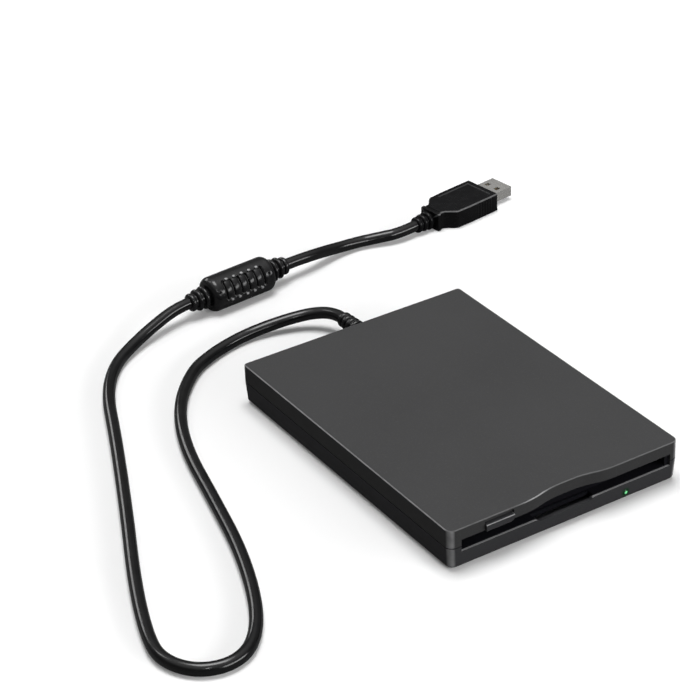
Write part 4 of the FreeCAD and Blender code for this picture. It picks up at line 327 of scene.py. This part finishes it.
FINISHES = {
    # case, slot, key and lamp
    # each spark plastic's second tone is the colour of its painted edge highlight
    "case_top": spark_plastic("roof_spark", (0.048, 0.048, 0.0487), highlight_tone=(0.34, 0.34, 0.345)),
    "case_base": spark_plastic("tray_spark", (0.044, 0.044, 0.0468), highlight_tone=(0.36, 0.36, 0.365), tray=True),
    "foot_rubber": soft_vinyl("foot_rubber", (0.02, 0.02, 0.02), 0.75, 0.3, 1200, 0.00003),
    "screw_steel": metal("screw_steel", (0.25, 0.25, 0.26), 0.38),
    "frame_plastic": smooth_plastic("mouth_plastic", (0.006, 0.006, 0.008), 0.5, 0.12),
    "flap_plastic": smooth_plastic("flap_plastic", (0.005, 0.005, 0.007), 0.45, 0.12),
    "button_plastic": spark_plastic("key_plastic", (0.046, 0.046, 0.049), 0.42, highlight_tone=(0.5, 0.5, 0.505),
                                    rim_from=0.0142, front_highlight=0.55),
    "spring_steel": metal("spring_wire", (0.6, 0.6, 0.6), 0.28, (1, 1, 0.1), 3000),
    "lens_green": lit_lens("lamp_lens"),
    "led_body": smooth_plastic("lamp_epoxy", (0.75, 0.78, 0.70), 0.2, 0.5, 1.03),
    # the drive inside
    "die_cast": metal("cast_tray", (0.45, 0.45, 0.45), 0.5, (1, 1, 1), 600, 0.00002),
    "sheet_steel": metal("zinc_sheet", (0.5, 0.51, 0.52), 0.36, (1, 0.06, 1), 900),
    "bright_steel": metal("ground_steel", (0.72, 0.72, 0.73), 0.18, (1, 1, 0.1), 2500),
    "board_green": solder_mask("solder_mask", (0.012, 0.085, 0.035)),
    "copper": winding("coil_winding", (0.62, 0.30, 0.14)),
    "sintered_bronze": metal("sintered_bronze", (0.55, 0.40, 0.20), 0.45, (1, 1, 1), 4000, 0.00001),
    "magnet": smooth_plastic("ring_magnet", (0.06, 0.06, 0.063), 0.6, 0.3),
    "hub_steel": metal("hub_steel", (0.5, 0.5, 0.5), 0.3),
    "carriage_plastic": spark_plastic("sled_plastic", (0.04, 0.04, 0.04), grain=1800),
    "arm_plastic": spark_plastic("arm_plastic", (0.08, 0.08, 0.08), grain=1800),
    "head_ceramic": smooth_plastic("head_ceramic", (0.25, 0.22, 0.20), 0.15, 0.6, 1.1),
    "motor_can": metal("motor_can", (0.6, 0.6, 0.62), 0.3, (1, 0.1, 1), 1800),
    "sensor_plastic": smooth_plastic("switch_plastic", (0.02, 0.02, 0.02), 0.5, 0.4),
    "plunger_plastic": smooth_plastic("plunger_plastic", (0.8, 0.78, 0.73), 0.35, 0.5, 1.03),
    "chip_epoxy": smooth_plastic("chip_epoxy", (0.015, 0.015, 0.015), 0.6, 0.4, 1.4),
    "connector_plastic": smooth_plastic("connector_plastic", (0.75, 0.71, 0.61), 0.4, 0.5, 1.05),
    "ribbon_film": smooth_plastic("flat_cable_film", (0.7, 0.7, 0.66), 0.3, 0.5, 1.05),
    "wire_jacket": soft_vinyl("core_jacket", (0.35, 0.05, 0.05), 0.35),
    # cord, choke and plug
    "cord_jacket": soft_vinyl("cord_jacket", (0.0045, 0.0045, 0.0048), 0.17, 0.4, 500, 0.00002),
    "relief_pvc": soft_vinyl("relief_vinyl", (0.006, 0.006, 0.0064), 0.24, 0.35),
    "ferrite_black": soft_vinyl("choke_cover", (0.007, 0.007, 0.0074), 0.22, 0.35),
    "ferrite_core": smooth_plastic("ferrite_core", (0.05, 0.05, 0.05), 0.6, 0.3),
    "plug_pvc": soft_vinyl("plug_vinyl", (0.005, 0.005, 0.0055), 0.24, 0.14),
    "plug_nickel": metal("plug_nickel", (0.74, 0.73, 0.70), 0.22, (1, 0.2, 1), 1200, 0.000002, 0.93, 0.75),
    "insert_plastic": smooth_plastic("insert_plastic", (0.8, 0.8, 0.78), 0.35, 0.5, 1.03),
    "contact_gold": metal("contact_gold", (0.83, 0.62, 0.24), 0.2),
}


# ---- surfaces

def add_to_scene(name, data):
    """A new object in the scene, at the origin."""
    item = bpy.data.objects.new(name, data)
    bpy.context.scene.collection.objects.link(item)
    return item


def skin(name, rings, body, slot, sharp, painted_highlight=None):
    """A closed piece from rings of points, shaped rows x columns x 3, that rides a body in a finish.

    Point c of one ring joins point c of the next, and each end closes on the middle of its ring. It is shaded
    smooth up to edges sharper than the angle in degrees. The last argument is how strongly each point's skin
    is painted pale as a highlight, from 0 to 1, and goes into an attribute of that name.
    """
    rows, columns = rings.shape[:2]
    index = np.arange(rows * columns).reshape(rows, columns)
    near, far = index[:-1], index[1:]
    faces = np.stack([near, np.roll(near, -1, 1), np.roll(far, -1, 1), far], -1).reshape(-1, 4).tolist()
    points = rings.reshape(-1, 3)
    for row in (0, rows - 1):
        ring, middle = index[row], np.full(columns, len(points))
        points = np.vstack([points, rings[row].mean(0)])
        fan = np.stack([ring, np.roll(ring, -1), middle], -1)
        faces += (fan if row else fan[:, [1, 0, 2]]).tolist()
    mesh = bpy.data.meshes.new(name)
    mesh.from_pydata(points.tolist(), [], faces)
    if painted_highlight is not None:
        shares = np.zeros(len(points), np.float32)
        shares[:rows * columns] = painted_highlight.ravel()
        mesh.attributes.new("painted_highlight", "FLOAT", "POINT").data.foreach_set("value", shares)
    mesh.polygons.foreach_set("use_smooth", np.ones(len(mesh.polygons), bool))
    mesh.set_sharp_from_angle(angle=math.radians(sharp))
    mesh.materials.append(FINISHES[slot])
    piece = add_to_scene(name, mesh)
    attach(piece, body)
    return piece


def around(centre, turn, local):
    """Points of a piece made along its own X in millimetres, turned in plan and carried to its centre."""
    angle = math.radians(turn)
    x, y, z = local[..., 0], local[..., 1], local[..., 2]
    return MM * np.stack([centre[0] + x * math.cos(angle) - y * math.sin(angle),
                          centre[1] + x * math.sin(angle) + y * math.cos(angle), centre[2] + z], -1)


def step(value, low, high):
    """0 below low, 1 above high, and 3t^2 - 2t^3 between."""
    t = np.clip((value - low) / (high - low), 0, 1)
    return t * t * (3 - 2 * t)


def hump(value, middle, half, soft):
    """1 within half of the middle, and 0 past half plus soft."""
    return 1 - step(np.abs(value - middle), half, half + soft)


def dome(square):
    """The height of a unit dome where the squared distance from its middle, in radii, is known."""
    return np.sqrt(np.clip(1 - square, 0, 1))


def turned(stations, radius, angles):
    """A surface of revolution about X: the point at station u and angle a is (u, r cos a, r sin a)."""
    u, a = np.meshgrid(stations, angles, indexing="ij")
    r = radius(u, a)
    return np.stack([u, r * np.cos(a), r * np.sin(a)], -1)


def ring_of(count):
    """So many angles, evenly round a circle."""
    return np.linspace(0, 2 * np.pi, count, endpoint=False)


# ---- cord pieces

def choke_cover():
    """The ferrite's cover: a barrel with round ends, a ribbed window, pin holes and ringed sleeves.

    Its radius is the barrel's. In the window it drops by a ledge, rises by a parabola over each rib and drops
    again in the groove between two ribs. A half dome, with a painted highlight, stands at each end of a rib,
    and the pin holes are pits. A sleeve thickens from its tip, and each of its rings adds the height of a
    half dome.
    """
    middle_x, middle_y, heading = -12.0, 143.4, 5.1
    reach, half, barrel, round_end = 25.0, 16.0, 7.6, 3.0
    window, window_half, window_reach = math.radians(153), math.radians(30), 10.3
    pitch, shift, ledge, crown_rise = 3.87, -0.35, 0.7, 0.5
    groove, groove_floor, groove_rim = 0.9, 0.18, 0.5
    bead_turn, bead_length, bead_width, bead_rise, beads_to = math.radians(35), 1.0, 0.75, 0.7, 9
    pins = [(-9.9, 120), (-9.9, 185), (9.2, 120), (9.2, 184), (-13.2, 152), (12.0, 152)]
    pin_depth, pin_floor, pin_rim = 1.1, 0.35, 0.7
    tip_radius, thickening, ring_half = 3.0, 0.4, 1.1
    sleeve_rings = ((1.1, 0.9), (4.1, 1.5), (7.2, 1.6))

    def groove_distance(u):
        return np.abs((u - shift) / pitch % 1.0 - 0.5) * pitch

    def beads(u, a):
        from_rib = pitch / 2 - groove_distance(u)
        off_line = (np.abs(a - window) - bead_turn) * barrel
        past_last = np.abs(u - shift) > beads_to
        return (from_rib / bead_length) ** 2 + (off_line / bead_width) ** 2 + 9.0 * past_last

    def radius(u, a):
        inset = np.clip(np.abs(u) - (half - round_end), 0, round_end)
        main = barrel - round_end + np.sqrt(np.maximum(round_end ** 2 - inset ** 2, 0))
        lean = np.abs(a - window)
        inside = hump(u, shift, window_reach, 0.4) * (1 - step(lean, window_half, window_half + 0.06))
        from_groove = groove_distance(u)
        from_rib = pitch / 2 - from_groove
        crown = crown_rise * (1 - (from_rib / (pitch / 2)) ** 2)
        main = main - inside * (ledge - crown + groove * (1 - step(from_groove, groove_floor, groove_rim)))
        main = main + bead_rise * dome(beads(u, a))
        for where, turn in pins:
            away = np.hypot(u - where, barrel * (a - math.radians(turn)))
            main = main - pin_depth * (1 - step(away, pin_floor, pin_rim))
        from_tip = reach - np.abs(u)
        sleeve = tip_radius + thickening * step(from_tip, 0, reach - half)
        for middle, rise in sleeve_rings:
            sleeve = sleeve + rise * dome(((from_tip - middle) / ring_half) ** 2)
        return np.where(np.abs(u) < half, main, sleeve)

    ends = reach - np.linspace(0, reach - half - 0.02, 70)
    rounding = half - round_end * (1 - np.cos(np.linspace(0, np.pi / 2, 14)))
    middle = np.linspace(-(half - round_end), half - round_end, 240)[1:-1]
    stations = np.concatenate([-ends, -rounding, middle, rounding[::-1], ends[::-1]])
    low, high = math.radians(105), math.radians(200)
    angles = np.concatenate([np.linspace(low, high, 120), np.linspace(high, low + 2 * np.pi, 62)[1:-1]])
    rings = around((middle_x, middle_y, barrel), heading, turned(stations, radius, angles))
    # painted highlight on the half domes
    painted_highlight = 1 - step(beads(*np.meshgrid(stations, angles, indexing="ij")), 0.15, 0.8)
    piece = skin("choke_cover", rings, "case", "ferrite_black", sharp=60, painted_highlight=painted_highlight)
    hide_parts("ferrite_cover")
    return piece


def ringed_sleeve():
    """The strain relief: a flange behind the wall, a neck through it, a collar and a ringed tapering sleeve.

    The sleeve's radius falls in a straight line from root to tip. Each of its six rings adds the height of a
    half dome, a little lower than the one before.
    """
    start, wall, flange, flange_end, neck = 67.085, 71.0, 4.2, 1.6, 2.95
    root, tip, taper = 3.1, 2.55, 19.8
    collar, collar_middle, collar_half, collar_round = 4.1, 0.7, 0.75, 0.12
    first_ring, ring_pitch, ring_half, ring_rise, ring_loss = 3.3, 3.0, 1.12, 1.05, 0.07
    out_x, out_z = 7.3, 8.7

    def radius(u, a):
        out = u - wall
        r = root + (tip - root) * np.clip(out / taper, 0, 1)
        for n in range(6):
            from_ring = (out - first_ring - ring_pitch * n) / ring_half
            r = r + (ring_rise - ring_loss * n) * dome(from_ring ** 2)
        r = np.maximum(r, collar * hump(out, collar_middle, collar_half, collar_round))
        r = np.where(out < 0, neck, r)
        return np.where(u < start + flange_end, flange, r)

    inner = [start, start + flange_end - 0.01, start + flange_end + 0.01, wall - 0.1]
    stations = np.concatenate([inner, wall + 0.02 + np.linspace(0, taper - 0.04, 240)])
    local = turned(stations, radius, ring_of(64))
    rings = MM * np.stack([out_x - local[..., 1], local[..., 0], out_z + local[..., 2]], -1)
    piece = skin("ringed_sleeve", rings, "case", "relief_pvc", sharp=60)
    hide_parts("strain_relief")
    return piece


def rounded_oblong(half_width, half_height, corner, tops, sides):
    """Rings of a rounded rectangle across X. Each column is a corner's arc or a share of a straight side.

    A point on an arc is the corner's centre plus the radius times its unit normal.
    """
    quarter = np.linspace(0, np.pi / 2, 9)
    across, along = np.linspace(-1, 1, tops)[1:-1], np.linspace(-1, 1, sides)[1:-1]
    w, h = half_width[:, None], half_height[:, None]
    parts = []
    for turn, (sign_y, sign_z) in enumerate(((1, 1), (-1, 1), (-1, -1), (1, -1))):
        angle = quarter + turn * np.pi / 2
        if turn % 2 == 0:
            parts.append((sign_y * w + 0 * along, sign_y * along * (h - corner)))
        else:
            parts.append((-sign_z * across * (w - corner), sign_z * h + 0 * across))
        parts.append((sign_y * (w - corner) + corner * np.cos(angle),
                      sign_z * (h - corner) + corner * np.sin(angle)))
    return tuple(np.concatenate([part[n] for part in parts], 1) for n in (0, 1))


def plug_grip():
    """The plug's overmould: rounded oblong rings from a collar over a waist to a wide grip with a panel.

    The half-width rises from neck to grip by 3t^2 - 2t^3. The panel is let into the top. The grip's sides
    are stepped in, with ribs that follow a cosine. The top's edges and the panel's rim have a painted
    highlight.
    The sleeve behind the grip is a surface of revolution, and each of its rings adds the height of a half
    dome.
    """
    place_x, place_y, heading = 92.0, 148.9, 8.6
    start, length, neck, grip, height, ends = -2.3, 30.5, 5.1, 9.7, 4.3, 0.5
    corner, swell, collar_rise, waist_depth = 0.8, 0.25, 0.7, 0.45
    panel_depth, panel_middle, panel_length, panel_width, panel_slope = 0.4, 18.8, 17.8, 14.0, 0.35
    side_depth, side_from, side_low, side_high = 0.28, 17.0, -4.2, 3.0
    rib_depth, ribs_middle, ribs_length, ribs_from, rib_pitch = 0.14, 23.2, 9.2, 18.4, 1.6
    # how strong the painted highlight is on the top's edges and on the panel's rim
    edge_highlight, panel_highlight = 0.4, 0.9
    tail_start, tail_end, tip_radius, thickening, ring_half = -11.0, -1.9, 2.75, 0.4, 1.1
    sleeve_rings = ((1.05, 0.85), (3.85, 1.05), (6.75, 1.2))

    def half_width(u):
        collar = collar_rise * hump(u, -1.5, 0.75, 0.15)
        return neck + (grip - swell - neck) * step(u, 0.8, 7.0) + swell * step(u, 6, 14) + collar

    near = ends * (1 - np.cos(np.linspace(0, np.pi / 2, 7)))
    middle = np.linspace(start + ends, length - ends, 250)[1:-1]
    stations = np.concatenate([start + near, middle, length - near[::-1]])
    inset = np.clip(start + ends - stations, 0, ends) + np.clip(stations - (length - ends), 0, ends)
    shrink = ends - np.sqrt(np.maximum(ends ** 2 - inset ** 2, 0))
    waist = waist_depth * hump(stations, -0.35, 0.15, 0.2)
    w, h = half_width(stations) - shrink - waist, height - shrink - waist
    y, z = rounded_oblong(w, h, corner, 120, 40)
    u = np.repeat(stations[:, None], y.shape[1], 1)
    w, h = w[:, None], h[:, None]
    panel = hump(u, panel_middle, panel_length / 2, panel_slope) * hump(y, 0, panel_width / 2, panel_slope)
    panel = panel * (z > height - 0.6)
    on_side = np.abs(np.abs(y) - w) < 0.02
    side_middle, side_half = (side_low + side_high) / 2, (side_high - side_low) / 2
    stepped = step(u, side_from, side_from + 0.3) * hump(z, side_middle, side_half, 0.3) * on_side
    waves = 0.5 - 0.5 * np.cos(2 * np.pi * (u - ribs_from) / rib_pitch)
    ribs = hump(u, ribs_middle, ribs_length / 2, 0.25) * waves
    y = y - np.sign(y) * (side_depth + rib_depth * ribs) * stepped
    body = np.stack([u, y, z - panel_depth * panel], -1)
    # the painted highlight: along the top's edges and at the panel's rim
    over_top = np.clip(z - h + corner, 0, None)
    past_side = np.clip(np.abs(y) - w + corner, 0, None) + 1e-6
    near_edge = (z > h - 0.79) * (np.abs(y) > w - 1.2)
    edge = hump(np.arctan2(over_top, past_side), np.pi / 4, 0.3, 0.3) * near_edge
    painted_highlight = np.maximum(edge_highlight * edge, panel_highlight * panel * (1 - panel))

    def radius(u, a):
        from_tip = u - tail_start
        r = tip_radius + thickening * step(from_tip, 0, 10)
        for ring, rise in sleeve_rings:
            r = r + rise * dome(((from_tip - ring) / ring_half) ** 2)
        return r

    place = ((place_x, place_y, height), heading)
    piece = skin("plug_grip", around(*place, body), "case", "plug_pvc", sharp=50, painted_highlight=painted_highlight)
    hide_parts("plug_overmould")
    tail = turned(np.linspace(tail_start, tail_end, 150), radius, ring_of(72))
    return piece, skin("plug_sleeve", around(*place, tail), "case", "plug_pvc", sharp=60)


# ---- cords

# in metres
CORD_RADIUS = 0.0025

# the routes' control points, in millimetres
CASE_TO_CHOKE = [
    (7.3, 90.8, 8.7), (7.3, 94, 8.7), (5.2, 99.8, 8.1), (1, 104.4, 7), (-4.6, 107.4, 5.9),
    (-11.2, 109.6, 4.8), (-19, 111.2, 3.7), (-27.4, 111.6, 2.9), (-36, 110.2, 2.5), (-46.4, 106.8, 2.5),
    (-59.4, 100, 2.5), (-76.8, 79.9, 2.5), (-89.2, 52.2, 2.5), (-97.8, 15.4, 2.5), (-106.5, -19.6, 2.5),
    (-119, -51.8, 2.5), (-131, -69, 2.5), (-142.7, -73.9, 2.5), (-154.5, -69.6, 2.5), (-160.7, -57.4, 2.5),
    (-158.2, -43.4, 2.5), (-147.5, -14.8, 2.5), (-127.2, 29.5, 2.5), (-107, 75.8, 2.5), (-95.4, 104.6, 2.5),
    (-82.6, 122.6, 2.5), (-68.4, 132, 3.4), (-54.6, 137.2, 5.9), (-42.9, 140.64, 7.6), (-36.9, 141.18, 7.6),
]
CHOKE_TO_PLUG = [
    (12.9, 145.62, 7.6), (18, 146.08, 7.6), (27, 147.2, 6.9), (36, 149.6, 5.2), (45, 151.4, 3.6),
    (54, 151.6, 3), (63, 148.9, 3.5), (71.5, 145.8, 4.2), (81.12, 147.26, 4.3),
]


def cord(name, route, nodes):
    """A round cord: one smooth spline with the route's points as its control points."""
    curve = bpy.data.curves.new(name, "CURVE")
    curve.dimensions = "3D"
    curve.resolution_u = 14
    curve.bevel_depth = CORD_RADIUS
    curve.bevel_resolution = 9
    curve.use_fill_caps = True
    spline = curve.splines.new("NURBS")
    spline.points.add(len(route) - 1)
    for point, spot in zip(spline.points, route):
        point.co = (*(MM * part for part in spot), 1)
    spline.order_u = 3
    spline.use_endpoint_u = True
    spline.use_smooth = True
    curve.materials.append(FINISHES["cord_jacket"])
    piece = add_to_scene(name, curve)
    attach(piece, "case")
    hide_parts(nodes)
    return piece


# ---- studio

def camera():
    """A long lens from the left front, a little over the object, rolled two and a half degrees."""
    azimuth, elevation, roll = (math.radians(turn) for turn in (-31.227394, 30.612468, -2.524630))
    aim, distance = np.array([0.0024794, 0.0860230, 0]), 1.0159412
    focal_pixels, picture_height, sensor = 2478.3411876, 690, 36
    back = np.array([math.sin(azimuth) * math.cos(elevation), -math.cos(azimuth) * math.cos(elevation),
                     math.sin(elevation)])
    right = np.array([math.cos(azimuth), math.sin(azimuth), 0])
    up = np.cross(back, right)
    across = right * math.cos(roll) + up * math.sin(roll)
    upward = up * math.cos(roll) - right * math.sin(roll)
    data = bpy.data.cameras.new("camera")
    data.sensor_width = sensor
    data.lens = focal_pixels * sensor / picture_height
    data.clip_end = 20
    item = add_to_scene("camera", data)
    item.location = aim + back * distance
    item.rotation_mode = "QUATERNION"
    item.rotation_quaternion = Matrix(np.stack([across, upward, back], 1).tolist()).to_quaternion()
    bpy.context.scene.camera = item


def lamp(name, spot, aim, size, power, mirrored_only=False):
    """A soft square or oblong panel that faces the point it lights. Some only show in shiny surfaces."""
    data = bpy.data.lights.new(name, "AREA")
    data.shape = "RECTANGLE"
    data.size, data.size_y = size
    data.energy = power
    item = add_to_scene(name, data)
    item.location = spot
    towards = Vector(spot) - Vector(aim)
    item.rotation_mode = "QUATERNION"
    item.rotation_quaternion = towards.to_track_quat("Z", "Y")
    item.visible_diffuse = not mirrored_only


def seen_straight(tree, rays):
    """1 for what the camera sees, straight or through a clear piece, and 0 for light that bounces."""
    return combine(tree, "MAXIMUM", rays["Is Camera Ray"], rays["Is Transmission Ray"])


def white_room():
    """A world that is plain white where it is seen, and dimmer as a light.

    Shiny surfaces mirror a sky that is white overhead and grey towards the horizon.
    """
    horizon, zenith, light = 0.14, 1.0, 0.11
    world = bpy.data.worlds.new("room")
    bpy.context.scene.world = world
    world.use_nodes = True
    tree = world.node_tree
    tree.nodes.clear()
    rays = put(tree, "LightPath").outputs
    height = three_parts(tree, put(tree, "TexCoord").outputs["Generated"])[2]
    sky = combine(tree, "MULTIPLY", rays["Is Glossy Ray"], spread(tree, height, 0.5, 0.9, horizon, zenith))
    seen = combine(tree, "MAXIMUM", seen_straight(tree, rays), sky, light)
    room = put(tree, "Background", {"Color": (1, 1, 1, 1)})
    tree.links.new(seen, room.inputs["Strength"])
    tree.links.new(room.outputs[0], put(tree, "OutputWorld").inputs[0])


def table_top():
    """A wide plain floor that takes shadows and shows white round them. It is clear from below.

    Light that bounces meets a dark grey floor, so that little of it comes back up onto the case.
    """
    side, mirrored, dim, near_glow = 3.0, 0.1, (0.1, 0.1, 0.1), 0.06
    corners = [(-side, -side, 0), (side, -side, 0), (side, side, 0), (-side, side, 0)]
    mesh = bpy.data.meshes.new("table_top")
    mesh.from_pydata(corners, [], [(0, 1, 2, 3)])
    material = bpy.data.materials.new("table_white")
    material.use_nodes = True
    tree = material.node_tree
    tree.nodes.clear()
    rays = put(tree, "LightPath").outputs
    seen = combine(tree, "MAXIMUM", seen_straight(tree, rays),
                   combine(tree, "MULTIPLY", rays["Is Glossy Ray"], mirrored))
    matt = put(tree, "BsdfDiffuse")
    tree.links.new(two_tone(tree, seen, dim, (0.9, 0.9, 0.9)), matt.inputs[0])
    away = put(tree, "VectorMath", operation="LENGTH")
    tree.links.new(object_place(tree), away.inputs[0])
    far = spread(tree, away.outputs["Value"], 0.15, 0.5, near_glow, 1.0)
    glow = put(tree, "Emission", {"Color": (1, 1, 1, 1)})
    tree.links.new(combine(tree, "MULTIPLY", seen, far), glow.inputs["Strength"])
    both = put(tree, "AddShader")
    tree.links.new(matt.outputs[0], both.inputs[0])
    tree.links.new(glow.outputs[0], both.inputs[1])
    sides = put(tree, "MixShader")
    tree.links.new(put(tree, "NewGeometry").outputs["Backfacing"], sides.inputs[0])
    tree.links.new(both.outputs[0], sides.inputs[1])
    tree.links.new(put(tree, "BsdfTransparent").outputs[0], sides.inputs[2])
    tree.links.new(sides.outputs[0], put(tree, "OutputMaterial").inputs[0])
    mesh.materials.append(material)
    floor = add_to_scene("table_top", mesh)


# ---- the drive

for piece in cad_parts.values():
    slot = piece.data.materials[0].name
    piece.data.materials.clear()
    piece.data.materials.append(FINISHES[slot])

first_cord = cord("usb_cord_jacket", CASE_TO_CHOKE, "usb_cord")
second_cord = cord("plug_cord_jacket", CHOKE_TO_PLUG, "plug_cord")
sleeve = ringed_sleeve()
choke = choke_cover()
grip, tail = plug_grip()

camera()
white_room()
table_top()
lamp("overhead", (0.03, 0.16, 1.15), (0, 0.04, 0), (0.6, 0.6), 10.8)
lamp("front", (0.5, -1.0, 0.42), (0, 0.0, 0.01), (1.2, 0.3), 9.5)
lamp("glint", (-0.45, -0.75, 0.75), (-0.02, 0.05, 0), (0.09, 0.09), 0.9)
lamp("glint_behind", (-0.5, 0.7, 0.9), (-0.1, 0.05, 0), (0.25, 0.25), 1.0)
lamp("panel", (-0.24, 1.02, 0.43), (-0.13, 0.02, 0), (0.5, 0.28), 1.7, mirrored_only=True)
bpy.context.scene.view_settings.view_transform = "Standard"
